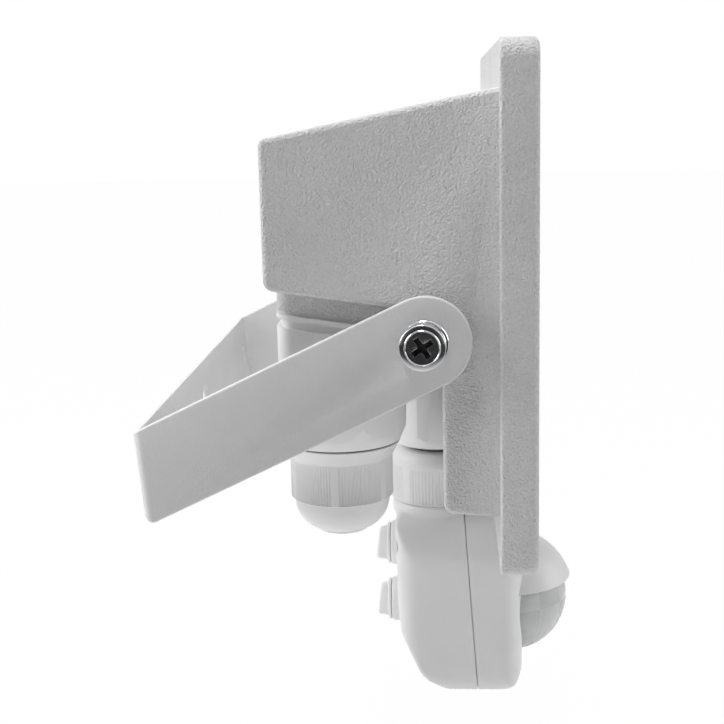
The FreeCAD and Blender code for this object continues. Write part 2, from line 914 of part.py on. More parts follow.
def cover_screws():
    end = cover_depths()[3]
    screws = []
    for x, y in cover_screw_places():
        seat = underside_at(y) - end + cover_head_height + cover_head_sink
        low = seat - cover_head_height
        tip = underside_at(y) - neck_height + cover_screw_grip - 1
        head = rod_z(cover_head_radius, low, seat, x, y)
        shank = rod_z(cover_screw_radius, low + 1, tip, x, y)
        slot = block(x - 2.2, x + 2.2, y - 0.5, y + 0.5, low - 1, low + 1)
        screws.append(head.fuse(shank).removeSplitter().cut(slot))
    return Part.makeCompound(screws)


def terminal_block():
    wide, deep, high = terminal_size
    floor_depth = cover_depths()[3] - cover_wall
    front = (cover_front + cover_back - deep) / 2 + terminal_setback
    back = front + deep
    low = underside_at(front) - floor_depth
    top = low + high
    foot = [(front, low, 0), (back, underside_at(back) - floor_depth, 0), (back, top, 0), (front, top, 0)]
    body = side_solid(foot, terminal_x - wide / 2, terminal_x + wide / 2)
    for pole in (-1, 0, 1):
        x = terminal_x + pole * terminal_pole_pitch
        body = body.cut(rod_z(terminal_pole_radius, top - terminal_pole_depth, top + 1, x, back - 5))
        body = body.cut(rod_y(terminal_pole_radius, front - 1, front + terminal_pole_depth, x,
                              low + high / 2))
    return body


# Cable gland
def gland_washer():
    top = seam_z
    ring = rod_z(gland_collar_top - 0.6, top - gland_washer_thickness, top, gland_x, gland_y)
    return ring.cut(rod_z(gland_tube_radius, top - 2, top + 1, gland_x, gland_y))


def gland_nut():
    top = seam_z - gland_washer_thickness
    ribs_top = top - gland_collar_height
    ribs_low = ribs_top - gland_rib_height
    low = ribs_low - gland_dome_height
    core = gland_nut_radius - gland_rib_depth - 0.5
    dome = [(core * math.cos(a) ** gland_dome_fullness, -math.sin(a) * gland_dome_height) for a in
            [math.radians(step * 9) for step in range(0, 10)]]
    dome = [point for point in dome if point[0] > gland_dome_flat]
    profile = [(0, 0), (gland_collar_top, 0), (gland_collar_low, -gland_collar_height),
               (core, -gland_collar_height - 0.01)]
    profile += [(radius, height + ribs_low - top) for radius, height in dome]
    profile += [(gland_dome_flat, low - top), (0, low - top)]
    nut = turned(profile, gland_x, gland_y, top)
    nut = nut.fuse(ribbed_rod(gland_nut_radius, gland_rib_depth, gland_rib_groups, gland_group_ribs,
                              smooth_share, ribs_low, ribs_top, gland_x, gland_y))
    bore = gland_tube_radius + running_play
    tube_end = gland_tube_length - gland_washer_thickness
    claw_low = tube_end + gland_claw_height
    under = low - top - 1
    hollow = turned([(0, 1), (bore, 1), (bore, -tube_end - 1), (gland_seat_radius(), -claw_low),
                     (gland_mouth_radius, -claw_low - 1.5), (gland_mouth_radius, under), (0, under)],
                    gland_x, gland_y, top)
    return nut.cut(hollow).removeSplitter()


def gland_seat_radius():
    return gland_tube_bore + 0.4


def gland_claw():
    """Ring of fingers between the tube's end and the nut's cone."""
    top = seam_z - gland_tube_length
    ring = turned([(gland_tube_bore - 1.5, 0), (gland_tube_radius - 0.4, 0), (gland_tube_radius - 0.6, -1.2),
                   (gland_seat_radius() - 0.4, -gland_claw_height + 0.6),
                   (gland_tube_bore - 1.5, -gland_claw_height + 0.6)], gland_x, gland_y, top)
    slots = []
    low = top - gland_claw_height
    for finger in range(4):
        slot = block(gland_x - 20, gland_x + 20, gland_y - 0.4, gland_y + 0.4, low, top - 1.5)
        slot.rotate(V(gland_x, gland_y, 0), V(0, 0, 1), finger * 45)
        slots.append(slot)
    return ring.cut(Part.makeCompound(slots))


def gland_seal():
    end = seam_z - gland_tube_length
    plug = gland_tube_bore - 0.05
    throat = gland_tube_bore - 1.5
    low = -gland_claw_height + 0.6
    profile = [(gland_cable_radius, gland_seal_plug), (plug, gland_seal_plug), (plug, 0),
               (throat, 0), (throat, low), (gland_cable_radius, low)]
    return turned(profile, gland_x, gland_y, end)


# Ball joint of the sensor
def ball(radius):
    return Part.makeSphere(radius, V(0, sensor_y, ball_z))


def ball_stud():
    top = spout_z + spout_floor
    stud = ball(ball_radius)
    stud = stud.fuse(rod_z(stud_stem_radius, ball_z, spout_z, 0, sensor_y))
    stud = stud.fuse(rod_z(stud_thread_radius, spout_z, top, 0, sensor_y))
    stud = stud.fuse(rod_z(spout_bore - 0.3, top, top + 2, 0, sensor_y))
    stud = stud.cut(rod_z(wire_bore, ball_z - 20, top + 5, 0, sensor_y))
    return stud.removeSplitter()


def ball_ring():
    ring = ball(ring_outer_radius).cut(ball(ball_radius + ball_play))
    layer = block(-20, 20, sensor_y - 20, sensor_y + 20, ball_z + ring_low, ball_z + ring_high)
    return ring.common(layer)


def sensor_clamp_nut():
    shoulder = nut_shoulder
    arc = [(nut_radius - shoulder + shoulder * math.cos(a), -shoulder + shoulder * math.sin(a))
           for a in [math.radians(90 - 15 * step) for step in range(7)]]
    core = nut_radius - nut_rib_depth - 0.5
    smooth_end = -shoulder - nut_smooth_top
    profile = [(0, 0)] + arc + [(nut_radius, smooth_end), (core, smooth_end - 0.01),
                                (core, -nut_height), (0, -nut_height)]
    nut = turned(profile, 0, sensor_y, nut_top)
    ribs_top = nut_top + smooth_end
    nut = nut.fuse(ribbed_rod(nut_radius, nut_rib_depth, nut_rib_groups, nut_group_ribs,
                              smooth_share, nut_bottom, ribs_top, 0, sensor_y))
    nut = nut.cut(rod_z(nut_mouth_radius, nut_top - 10, nut_top + 1, 0, sensor_y))
    hollow = ball(ring_outer_radius + ball_play)
    bore = rod_z(cup_radius + running_play, nut_bottom - 1, cup_top() + 0.4, 0, sensor_y)
    return nut.cut(hollow).cut(bore).removeSplitter()


def cup_top():
    return ball_z - 0.6


# Sensor head: two shells that meet at a leaning seam
def head_solid(inset):
    half = head_width / 2 - inset
    top = head_top - inset
    low = head_bottom + inset
    rear = head_rear - inset
    face = head_face + inset
    round_off = max(head_side_round - inset, 1.0)
    knee, heel, toe = head_rear_steps
    knee_drop, heel_drop = head_rear_drops
    side = [(rear, top, head_rear_round), (rear - knee, head_top - knee_drop, round_off),
            (rear - heel, head_top - heel_drop + inset * 0.5, round_off), (rear - toe, low, round_off),
            (face, low, head_front_round - inset), (face, top, head_brow_round - inset)]
    profile = side_solid(side, -half, half)
    front = front_solid(rounded_rectangle(-half, half, low, top, round_off), face - 1, rear + 1)
    plan = top_solid(rounded_rectangle(-half, half, face, rear, round_off * 0.75), low - 1, top + 1)
    return profile.common(front).common(plan)


def behind_seam():
    top = V(0, sensor_y - head_seam_top, head_top)
    foot = V(0, sensor_y - head_seam_foot, head_bottom)
    slope = (foot.y - top.y) / (foot.z - top.z)
    high = head_top + 20
    low = head_bottom - 20
    far = head_rear + head_back
    corners = [(top.y + slope * (high - top.z), high, 0), (far, high, 0),
               (far, low, 0), (top.y + slope * (low - top.z), low, 0)]
    return side_solid(corners, -head_width, head_width)


def seam_y_at(z):
    share = (head_top - z) / head_height
    return sensor_y - head_seam_top - share * (head_seam_foot - head_seam_top)


def head_shell():
    return head_solid(0).cut(head_solid(head_wall))


def head_post_places():
    return [(side * head_screw_x, head_top - drop) for side in (-1, 1) for drop in head_screw_drops]


def knob_places():
    return [head_top - drop for drop in knob_drops]


def rear_wall_at(z):
    """Y of the rear outside face at a height."""
    drop = head_top - z
    knee, heel = head_rear_steps[:2]
    knee_drop, heel_drop = head_rear_drops
    if drop < knee_drop:
        return head_rear - knee * drop / knee_drop
    return head_rear - knee - (heel - knee) * (drop - knee_drop) / (heel_drop - knee_drop)


def head_screw_seat(z):
    return rear_wall_at(z) - head_screw_sink - head_screw_head_height


def sensor_rear_shell():
    shell = head_shell().common(behind_seam())
    collar_top = head_top + head_collar_height
    shell = shell.fuse(rod_z(head_collar_radius, head_top, collar_top, 0, sensor_y))
    cup = rod_z(cup_radius, head_top - head_wall, cup_top(), 0, sensor_y)
    cup = cup.common(behind_seam().fuse(rod_z(cup_radius, head_top, cup_top(), 0, sensor_y)))
    shell = shell.fuse(cup)
    boss_face = head_rear + knob_boss_height
    for z in knob_places():
        shell = shell.fuse(rod_y(knob_boss_radius, head_rear - head_wall, boss_face, 0, z))
    posts = []
    for x, z in head_post_places():
        posts.append(rod_y(head_post_radius, seam_y_at(z) - 5, head_rear, x, z))
    posts = Part.makeCompound(posts).common(head_solid(0)).common(behind_seam())
    shell = shell.fuse(posts)
    shell = shell.cut(ball(ball_radius + ball_play))
    shell = shell.cut(rod_z(wire_bore + 0.5, head_top - 6, ball_z, 0, sensor_y))
    for z in knob_places():
        shell = shell.cut(rod_y(knob_stem_radius + running_play, head_rear - 8, boss_face + 1, 0, z))
    for x, z in head_post_places():
        seat = head_screw_seat(z)
        shell = shell.cut(rod_y(small_screw_radius, seam_y_at(z) - 8, seat + 1, x, z))
        shell = shell.cut(rod_y(head_screw_head + 0.3, seat, head_rear + 5, x, z))
    return shell.removeSplitter()


def hood():
    centre = V(0, lens_y, lens_z)
    shell = Part.makeSphere(hood_radius, centre)
    slope = math.tan(math.radians(hood_slope))
    far = head_face - 30
    edge_z = lens_z + hood_edge_rise
    keep = [(head_face + 1, edge_z, 0), (far, edge_z + slope * (head_face - far), 0),
            (far, head_top + 20, 0), (head_face + 1, head_top + 20, 0)]
    return shell.common(side_solid(keep, -head_width, head_width))


def sensor_front_shell():
    shell = head_shell().cut(behind_seam()).fuse(hood())
    centre = V(0, lens_y, lens_z)
    shell = shell.cut(Part.makeSphere(hood_radius - hood_wall, centre))
    posts = []
    for x, z in head_post_places():
        posts.append(rod_y(head_post_radius, head_face + 0.5, seam_y_at(z) + 5, x, z))
    posts = Part.makeCompound(posts).common(head_solid(0)).cut(behind_seam())
    shell = shell.fuse(posts).removeSplitter()
    for x, z in head_post_places():
        shell = shell.cut(rod_y(small_screw_radius, seam_y_at(z) - 7, seam_y_at(z) + 5, x, z))
    return largest(shell)


def largest(shape):
    return max(shape.Solids, key=lambda solid: solid.Volume)


def fresnel_lens():
    centre = V(0, lens_y, lens_z)
    dome = Part.makeSphere(lens_radius, centre).cut(Part.makeSphere(lens_radius - lens_wall, centre))
    flange_y = head_face + head_wall
    keep = block(-30, 30, head_face - 30, flange_y, lens_z - 30, lens_z + 30)
    dome = dome.common(keep)
    hole = hood_radius - hood_wall
    outer = math.sqrt(hole ** 2 - (lens_back - head_wall) ** 2) + lens_flange - 0.5
    outer = min(outer, head_width / 2 - head_wall - 0.3)
    inner = math.sqrt((lens_radius - lens_wall) ** 2 - (lens_back - head_wall) ** 2)
    flange = rod_y(outer, flange_y, flange_y + lens_wall, 0, lens_z)
    flange = flange.cut(rod_y(inner, flange_y - 1, flange_y + lens_wall + 1, 0, lens_z))
    flange = flange.common(head_solid(head_wall + lens_play))
    return largest(dome.fuse(flange).removeSplitter())


def sensor_board_y():
    return head_face + head_wall + lens_wall + sensor_board_gap


def cleared_board(size, y0, middle_z):
    wide, thick, high = size
    board = block(-wide / 2, wide / 2, y0, y0 + thick, middle_z - high / 2, middle_z + high / 2)
    for x, z in head_post_places():
        board = board.cut(rod_y(head_post_radius + 0.2, y0 - 1, y0 + thick + 1, x, z))
    return board


def sensor_board():
    high = head_height - sensor_board_foot - sensor_board_below_top
    size = (sensor_board_width, board_thickness, high)
    return cleared_board(size, sensor_board_y(), head_bottom + sensor_board_foot + high / 2)


def pir_detector():
    y = sensor_board_y()
    can = rod_y(detector_radius, y - detector_height, y, 0, lens_z)
    return can.fuse(rod_y(detector_radius + 0.6, y - 0.6, y, 0, lens_z)).removeSplitter()


def light_cell():
    y = sensor_board_y()
    return rod_y(light_cell_radius, y - light_cell_height, y, 0, head_bottom + light_cell_rise)


def pot_face():
    return head_rear + knob_boss_height - knob_stem_length


def control_board():
    y1 = pot_face() - pot_size[1]
    return cleared_board(control_board_size, y1 - control_board_size[1], head_top - control_board_drop)


def potentiometers():
    wide, deep, high = pot_size
    pots = []
    for z in knob_places():
        pots.append(centred_block((wide, deep, high), 0, pot_face() - deep / 2, z))
    return Part.makeCompound(pots)


def relay():
    wide, deep, high = relay_size
    y1 = pot_face() - pot_size[1] - control_board_size[1]
    return centred_block((wide, deep, high), 0, y1 - deep / 2, head_top - relay_drop)


def board_spacers():
    """Four legs that hold the two boards apart."""
    y0 = sensor_board_y() + board_thickness
    y1 = pot_face() - pot_size[1] - control_board_size[1]
    legs = [rod_y(spacer_radius, y0, y1, side * spacer_x, head_top - drop)
            for side in (-1, 1) for drop in spacer_drops]
    return Part.makeCompound(legs)


def head_screws():
    screws = []
    for x, z in head_post_places():
        seat = head_screw_seat(z)
        head = rod_y(head_screw_head, seat, seat + head_screw_head_height, x, z)
        shank = rod_y(small_screw_radius, seam_y_at(z) - 6.5, seat + 1, x, z)
        slot_floor = seat + head_screw_head_height / 2
        slot = block(x - 2, x + 2, slot_floor, seat + 5, z - 0.4, z + 0.4)
        screws.append(head.fuse(shank).removeSplitter().cut(slot))
    return Part.makeCompound(screws)


def adjuster_knob(z):
    base = head_rear + knob_boss_height
    plate = rod_y(knob_radius, base, base + knob_plate, 0, z)
    half = knob_grip_width / 2
    reach = knob_grip_length / 2
    grip = front_solid(rounded_rectangle(-half, half, z - reach, z + reach, half * 0.8),
                       base + knob_plate / 2, base + knob_plate + knob_grip_height)
    stem = rod_y(knob_stem_radius, base - knob_stem_length + 0.2, base + 0.5, 0, z)
    return plate.fuse(grip).fuse(stem).removeSplitter()


def parts():
    top_knob, low_knob = knob_places()
    made = {
        "mounting_bracket": mounting_bracket(),
        "lamp_housing": lamp_housing(),
        "front_glass": front_glass(),
        "glass_seal": glass_seal(),
        "reflector": reflector(),
        "led_board": led_board(),
        "led_chips": led_chips(),
        "board_screws": board_screws(),
        "driver_board": driver_board(),
        "driver_screws": driver_screws(),
        "driver_transformer": driver_transformer(),
        "driver_capacitors": driver_capacitors(),
        "driver_coil": driver_coil(),
        "driver_bridge": driver_bridge(),
        "terminal_cover": terminal_cover(),
        "cover_seal": cover_seal_ring(),
        "cover_screws": cover_screws(),
        "terminal_block": terminal_block(),
        "gland_washer": gland_washer(),
        "gland_nut": gland_nut(),
        "gland_claw": gland_claw(),
        "gland_seal": gland_seal(),
        "ball_stud": ball_stud(),
        "ball_ring": ball_ring(),
        "sensor_clamp_nut": sensor_clamp_nut(),
        "sensor_rear_shell": sensor_rear_shell(),
        "sensor_front_shell": sensor_front_shell(),
        "fresnel_lens": fresnel_lens(),
        "sensor_board": sensor_board(),
        "pir_detector": pir_detector(),
        "light_cell": light_cell(),
        "control_board": control_board(),
        "board_spacers": board_spacers(),
        "potentiometers": potentiometers(),
        "sensor_relay": relay(),
        "head_screws": head_screws(),
        "time_knob": adjuster_knob(top_knob),
        "lux_knob": adjuster_knob(low_knob),
    }
    for name, side in (("left", -1), ("right", 1)):
        made["pivot_screw_" + name] = pivot_screw(side)
        made["spring_washer_" + name] = spring_washer(side)
        made["flat_washer_" + name] = flat_washer(side)
    return made


os.makedirs("parts", exist_ok=True)
for node, shape in parts().items():
    shape.exportStep("parts/" + node + ".step")
    state = "valid" if shape.isValid() else "NOT VALID"
    print(node, len(shape.Solids), "solids", round(shape.Volume), "mm3", state)
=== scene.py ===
import math

import bmesh
import bpy
from mathutils import Matrix, Vector


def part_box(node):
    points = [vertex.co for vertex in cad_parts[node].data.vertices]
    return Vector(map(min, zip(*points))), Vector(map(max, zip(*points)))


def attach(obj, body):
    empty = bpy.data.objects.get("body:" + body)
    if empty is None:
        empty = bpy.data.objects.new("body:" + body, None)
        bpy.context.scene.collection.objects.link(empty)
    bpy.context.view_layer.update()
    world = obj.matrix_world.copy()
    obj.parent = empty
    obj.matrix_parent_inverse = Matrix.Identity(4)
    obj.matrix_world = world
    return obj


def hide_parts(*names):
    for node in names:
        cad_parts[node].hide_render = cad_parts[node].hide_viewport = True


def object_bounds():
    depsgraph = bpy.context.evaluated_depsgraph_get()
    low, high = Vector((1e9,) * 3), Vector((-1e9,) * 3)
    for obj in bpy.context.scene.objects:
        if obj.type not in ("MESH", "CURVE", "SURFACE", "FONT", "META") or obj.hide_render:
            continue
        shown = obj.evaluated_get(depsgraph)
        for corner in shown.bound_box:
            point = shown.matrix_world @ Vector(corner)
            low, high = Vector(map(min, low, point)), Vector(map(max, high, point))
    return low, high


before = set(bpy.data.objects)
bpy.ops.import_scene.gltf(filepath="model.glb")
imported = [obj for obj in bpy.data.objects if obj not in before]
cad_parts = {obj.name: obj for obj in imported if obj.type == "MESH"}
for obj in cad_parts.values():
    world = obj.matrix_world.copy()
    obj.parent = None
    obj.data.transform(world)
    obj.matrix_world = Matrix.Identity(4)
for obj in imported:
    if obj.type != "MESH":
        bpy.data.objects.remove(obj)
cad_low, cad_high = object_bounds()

# Camera: a long lens on the lamp's left side, a little above it, where the
# straight edges of the photograph put it.
mm = 0.001
camera_place = Vector((-429.67, -84.77, 100.49)) * mm
camera_right = Vector((0.06319, -0.99771, -0.02394))
camera_up = Vector((0.19934, -0.01088, 0.97987))
lens_length = 64.64
sensor_size = 36.0


def add_object(name, data):
    made = bpy.data.objects.new(name, data)
    bpy.context.scene.collection.objects.link(made)
    return made


camera_data = bpy.data.cameras.new("camera")
camera_data.lens = lens_length
camera_data.sensor_width = sensor_size
camera = add_object("camera", camera_data)
camera_back = camera_right.cross(camera_up)
camera_axes = Matrix((camera_right, camera_up, camera_back)).transposed()
camera.matrix_world = Matrix.Translation(camera_place) @ camera_axes.to_4x4()
bpy.context.scene.camera = camera
bpy.context.scene.view_settings.view_transform = "Standard"

# Studio floor: matt white board. The camera sees it white with the lamp's
# shadow on it, and polished metal sees it go dark toward -X, as an unlit
# studio does.
floor_level = cad_low.z - 60 * mm
floor_half = 4.0
floor_white = (0.92, 0.92, 0.92, 1)
floor_roughness = 0.9
floor_glow = 0.985
unlit_start, unlit_end = -0.2, -0.5
unlit_strength = 0.035


def new_math(tree, operation):
    node = tree.nodes.new("ShaderNodeMath")
    node.operation = operation
    return node


def wire(tree, *links):
    """Joins sockets: each link is a node, its output, the next node and its input."""
    for source, output, target, socket in links:
        tree.links.new(source.outputs[output], target.inputs[socket])


def mesh_of(bm, name):
    """The finished mesh, with its bmesh freed."""
    mesh = bpy.data.meshes.new(name)
    bm.to_mesh(mesh)
    bm.free()
    return mesh


floor_bm = bmesh.new()
bmesh.ops.create_grid(floor_bm, x_segments=1, y_segments=1, size=floor_half)
bmesh.ops.translate(floor_bm, verts=floor_bm.verts, vec=(0, 0, floor_level))
floor_mesh = mesh_of(floor_bm, "studio_floor")
studio_floor = add_object("studio_floor", floor_mesh)
floor_paint = bpy.data.materials.new("floor_paint")
floor_paint.use_nodes = True
tree = floor_paint.node_tree
diffuse = tree.nodes["Principled BSDF"]
diffuse.inputs["Base Color"].default_value = floor_white
diffuse.inputs["Roughness"].default_value = floor_roughness
glow = tree.nodes.new("ShaderNodeEmission")
rays = tree.nodes.new("ShaderNodeLightPath")
seen = new_math(tree, "MAXIMUM")
share = new_math(tree, "MULTIPLY")
share.inputs[1].default_value = floor_glow
blend = tree.nodes.new("ShaderNodeMixShader")
where = tree.nodes.new("ShaderNodeTexCoord")
axes = tree.nodes.new("ShaderNodeSeparateXYZ")
far = tree.nodes.new("ShaderNodeMapRange")
far.inputs["From Min"].default_value = unlit_start
far.inputs["From Max"].default_value = unlit_end
mirrored = new_math(tree, "MULTIPLY")
unlit = tree.nodes.new("ShaderNodeEmission")
unlit.inputs["Strength"].default_value = unlit_strength
floor_mix = tree.nodes.new("ShaderNodeMixShader")
wire(tree,
     (rays, "Is Camera Ray", seen, 0), (rays, "Is Transmission Ray", seen, 1),
     (seen, 0, share, 0), (share, 0, blend, 0),
     (diffuse, "BSDF", blend, 1), (glow, "Emission", blend, 2),
     (where, "Object", axes, "Vector"), (axes, "X", far, "Value"),
     (far, "Result", mirrored, 0), (rays, "Is Glossy Ray", mirrored, 1),
     (mirrored, 0, floor_mix, 0), (blend, "Shader", floor_mix, 1),
     (unlit, "Emission", floor_mix, 2),
     (floor_mix, "Shader", tree.nodes["Material Output"], "Surface"))
floor_mesh.materials.append(floor_paint)

# The room is white to the eye. To polished metal it is white with one dark
# side, toward -X, as a studio is where nothing but the camera stands.
room_fill = 0.11
dark_side = 0.03
dark_end, white_start = -0.93, -0.62
room = bpy.data.worlds.new("studio_room")
bpy.context.scene.world = room
room.use_nodes = True
tree = room.node_tree
tree.nodes.clear()
place = tree.nodes.new("ShaderNodeTexCoord")
split = tree.nodes.new("ShaderNodeSeparateXYZ")
side = tree.nodes.new("ShaderNodeMapRange")
side.interpolation_type = "SMOOTHSTEP"
side.inputs["From Min"].default_value = dark_end
side.inputs["From Max"].default_value = white_start
side.inputs["To Min"].default_value = dark_side
side.inputs["To Max"].default_value = 1.0
rays = tree.nodes.new("ShaderNodeLightPath")
seen = new_math(tree, "MAXIMUM")
bright = tree.nodes.new("ShaderNodeMix")
bright.inputs["A"].default_value = room_fill
shiny = tree.nodes.new("ShaderNodeMix")
shiny.inputs["B"].default_value = 1.0
sky = tree.nodes.new("ShaderNodeBackground")
sky.inputs["Color"].default_value = (1, 1, 1, 1)
sky_out = tree.nodes.new("ShaderNodeOutputWorld")
wire(tree,
     (place, "Generated", split, "Vector"), (split, "X", side, "Value"),
     (rays, "Is Camera Ray", seen, 0), (rays, "Is Transmission Ray", seen, 1),
     (rays, "Is Glossy Ray", bright, "Factor"), (side, "Result", bright, "B"),
     (seen, 0, shiny, "Factor"), (bright, "Result", shiny, "A"),
     (shiny, "Result", sky, "Strength"), (sky, "Background", sky_out, "Surface"))

# Studio light: soft boxes overhead, on the wall side and in front. Each row
# has the box's place from the lamp's middle, its two sides in metres and its
# power in watts.
middle = (cad_low + cad_high) / 2
for name, place, wide, high, power in (
        ("box_above", (-0.2, 0.1, 1.3), 0.25, 0.5, 11.5),
        ("box_wall_side", (-0.05, 1.25, 0.65), 0.9, 0.9, 13.5),
        ("box_front", (0.05, -1.4, 0.5), 1.0, 1.0, 8.0)):
    soft_box = bpy.data.lights.new(name, "AREA")
    soft_box.shape = "RECTANGLE"
    soft_box.size = wide
    soft_box.size_y = high
    soft_box.energy = power
    hung = add_object(name, soft_box)
    hung.location = middle + Vector(place)
    hung.rotation_euler = (middle - hung.location).to_track_quat("-Z", "Y").to_euler()

# Lamp body: one aluminium die casting, shot and coated with a coarse white
# texture powder. One node group makes its pebbled skin, and the smoother
# bracket, the moulded plastic and the rubber use it too, at their own scales.
pebble_group = bpy.data.node_groups.new("pebbled_skin", "ShaderNodeTree")
for label, value in (("Pebble size", 1.0), ("Dust", 0.5)):
    socket = pebble_group.interface.new_socket(
        label, in_out="INPUT", socket_type="NodeSocketFloat")
    socket.default_value = value
for label in ("Height", "Tone", "Gloss"):
    pebble_group.interface.new_socket(label, in_out="OUTPUT", socket_type="NodeSocketFloat")
given = pebble_group.nodes.new("NodeGroupInput")
made_here = pebble_group.nodes.new("NodeGroupOutput")
place = pebble_group.nodes.new("ShaderNodeTexCoord")
per_metre = new_math(pebble_group, "DIVIDE")
per_metre.inputs[0].default_value = 1.0 / mm
coarse = pebble_group.nodes.new("ShaderNodeTexNoise")
coarse.inputs["Detail"].default_value = 2.0
coarse.inputs["Roughness"].default_value = 0.55
cells = pebble_group.nodes.new("ShaderNodeTexVoronoi")
cells.feature = "SMOOTH_F1"
cells.inputs["Smoothness"].default_value = 0.6
fine_scale = new_math(pebble_group, "MULTIPLY")
fine_scale.inputs[1].default_value = 0.8
pile = new_math(pebble_group, "SUBTRACT")
cloud = pebble_group.nodes.new("ShaderNodeTexNoise")
cloud.inputs["Scale"].default_value = 28.0
cloud.inputs["Detail"].default_value = 3.0
tone = pebble_group.nodes.new("ShaderNodeMapRange")
tone.inputs["From Min"].default_value = 0.3
tone.inputs["From Max"].default_value = 0.7
speck = new_math(pebble_group, "MULTIPLY")
weigh = new_math(pebble_group, "MULTIPLY_ADD")
wire(pebble_group,
     (given, "Pebble size", per_metre, 1), (per_metre, 0, coarse, "Scale"),
     (place, "Object", coarse, "Vector"), (place, "Object", cells, "Vector"),
     (place, "Object", cloud, "Vector"), (per_metre, 0, fine_scale, 0),
     (fine_scale, 0, cells, "Scale"), (coarse, "Fac", pile, 0),
     (cells, "Distance", speck, 0), (given, "Dust", speck, 1), (speck, 0, pile, 1),
     (cloud, "Fac", tone, "Value"), (coarse, "Fac", weigh, 0), (given, "Dust", weigh, 1),
     (tone, "Result", weigh, 2), (pile, 0, made_here, "Height"),
     (weigh, 0, made_here, "Tone"), (coarse, "Fac", made_here, "Gloss"))


grain_span = (0.25, 0.75)


def grey(level):
    return (level, level, level)


def skin_material(name, dark, light, rough, pebble, dust, depth, metal=0.0):
    """A moulded or coated skin: two near tones, a gloss range and a pebbled height in mm."""
    material = bpy.data.materials.new(name)
    material.use_nodes = True
    tree = material.node_tree
    shader = tree.nodes["Principled BSDF"]
    shader.inputs["Metallic"].default_value = metal
    skin = tree.nodes.new("ShaderNodeGroup")
    skin.node_tree = pebble_group
    skin.inputs["Pebble size"].default_value = pebble
    skin.inputs["Dust"].default_value = dust
    paint = tree.nodes.new("ShaderNodeMix")
    paint.data_type = "RGBA"
    paint.inputs["A"].default_value = (*dark, 1)
    paint.inputs["B"].default_value = (*light, 1)
    gloss = tree.nodes.new("ShaderNodeMapRange")
    for label, value in zip(("From Min", "From Max", "To Min", "To Max"), (*grain_span, *rough)):
        gloss.inputs[label].default_value = value
    bump = tree.nodes.new("ShaderNodeBump")
    bump.inputs["Strength"].default_value = 1.0
    bump.inputs["Distance"].default_value = depth * mm
    wire(tree,
         (skin, "Tone", paint, "Factor"), (skin, "Gloss", gloss, "Value"),
         (skin, "Height", bump, "Height"), (paint, "Result", shader, "Base Color"),
         (gloss, "Result", shader, "Roughness"), (bump, "Normal", shader, "Normal"))
    return material


housing_coat = skin_material("housing_coat", grey(0.655), grey(0.725), (0.5, 0.68),
                             pebble=0.6, dust=0.45, depth=0.75)


def soft_normals(bm, sharp_degrees=32):
    """Smooth faces with the true corners kept crisp."""
    limit = math.radians(sharp_degrees)
    for face in bm.faces:
        face.smooth = True
    for edge in bm.edges:
        edge.smooth = len(edge.link_faces) == 2 and edge.calc_face_angle(math.pi) < limit


def make_piece(bm, name, *materials):
    """Ends the work in millimetres: the finished mesh is put in metres."""
    bmesh.ops.scale(bm, vec=(mm, mm, mm), verts=bm.verts)
    mesh = mesh_of(bm, name)
    for material in materials:
        mesh.materials.append(material)
    return add_object(name, mesh)


def ride_as(piece, node, body):
    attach(piece, body)
    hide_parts(node)


def ease(bm, geom, offset, segments, affect="EDGES", clamp=True, material=-1):
    """Breaks edges or corners with a round that ends this far from them."""
    bmesh.ops.bevel(bm, geom=geom, offset=offset, offset_type="OFFSET", segments=segments,
                    profile=0.5, affect=affect, clamp_overlap=clamp, material=material)


def eased_copy(node, name, material, offset, segments=2, clamp=True, reshape=None):
    """The node's own shape in mm, its cut or moulded edges broken by a small round."""
    merge_gap, flat_degrees, sharp_degrees = 0.002, 0.6, 38
    bm = bmesh.new()
    bm.from_mesh(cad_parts[node].data)
    bmesh.ops.scale(bm, vec=(1 / mm, 1 / mm, 1 / mm), verts=bm.verts)
    bmesh.ops.remove_doubles(bm, verts=bm.verts, dist=merge_gap)
    if reshape:
        reshape(bm)
    bmesh.ops.dissolve_limit(bm, angle_limit=math.radians(flat_degrees), verts=bm.verts,
                             edges=bm.edges)
    sharp = [edge for edge in bm.edges if len(edge.link_faces) == 2
             and edge.calc_face_angle(0) > math.radians(sharp_degrees)]
    ease(bm, sharp, offset, segments, clamp=clamp)
    soft_normals(bm)
    return make_piece(bm, name, material)


housing = eased_copy("lamp_housing", "lamp_casting", housing_coat, 0.4)
ride_as(housing, "lamp_housing", "lamp")


# Lamp front: a toughened glass on a rubber seal, and behind it the white
# plate with a window for each light chip, over the aluminium board. The
# chips are soldered: a white case with a yellow phosphor face.
def dress(node, material):
    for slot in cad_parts[node].material_slots:
        slot.material = material


clear_glass = skin_material("clear_glass", (0.93, 0.96, 0.95), (0.96, 0.98, 0.97),
                            (0.01, 0.04), pebble=6.0, dust=0.1, depth=0.002)
glass_shader = clear_glass.node_tree.nodes["Principled BSDF"]
glass_shader.inputs["Transmission Weight"].default_value = 1.0
glass_shader.inputs["IOR"].default_value = 1.5
black_rubber = skin_material("black_rubber", grey(0.03), grey(0.05), (0.6, 0.8),
                             pebble=0.4, dust=0.4, depth=0.03)
white_reflector = skin_material("white_reflector", (0.84, 0.84, 0.83), (0.9, 0.9, 0.89),
                                (0.25, 0.35), pebble=1.2, dust=0.2, depth=0.01)
board_metal = skin_material("board_metal", (0.78, 0.79, 0.79), (0.86, 0.87, 0.87),
                            (0.3, 0.45), pebble=0.6, dust=0.3, depth=0.01)
steel = skin_material("steel", (0.55, 0.55, 0.57), (0.68, 0.68, 0.7), (0.24, 0.42),
                      pebble=0.8, dust=0.4, depth=0.01, metal=1.0)
chip_case = skin_material("chip_case", (0.8, 0.8, 0.78), (0.87, 0.87, 0.85), (0.3, 0.4),
                          pebble=0.3, dust=0.2, depth=0.005)
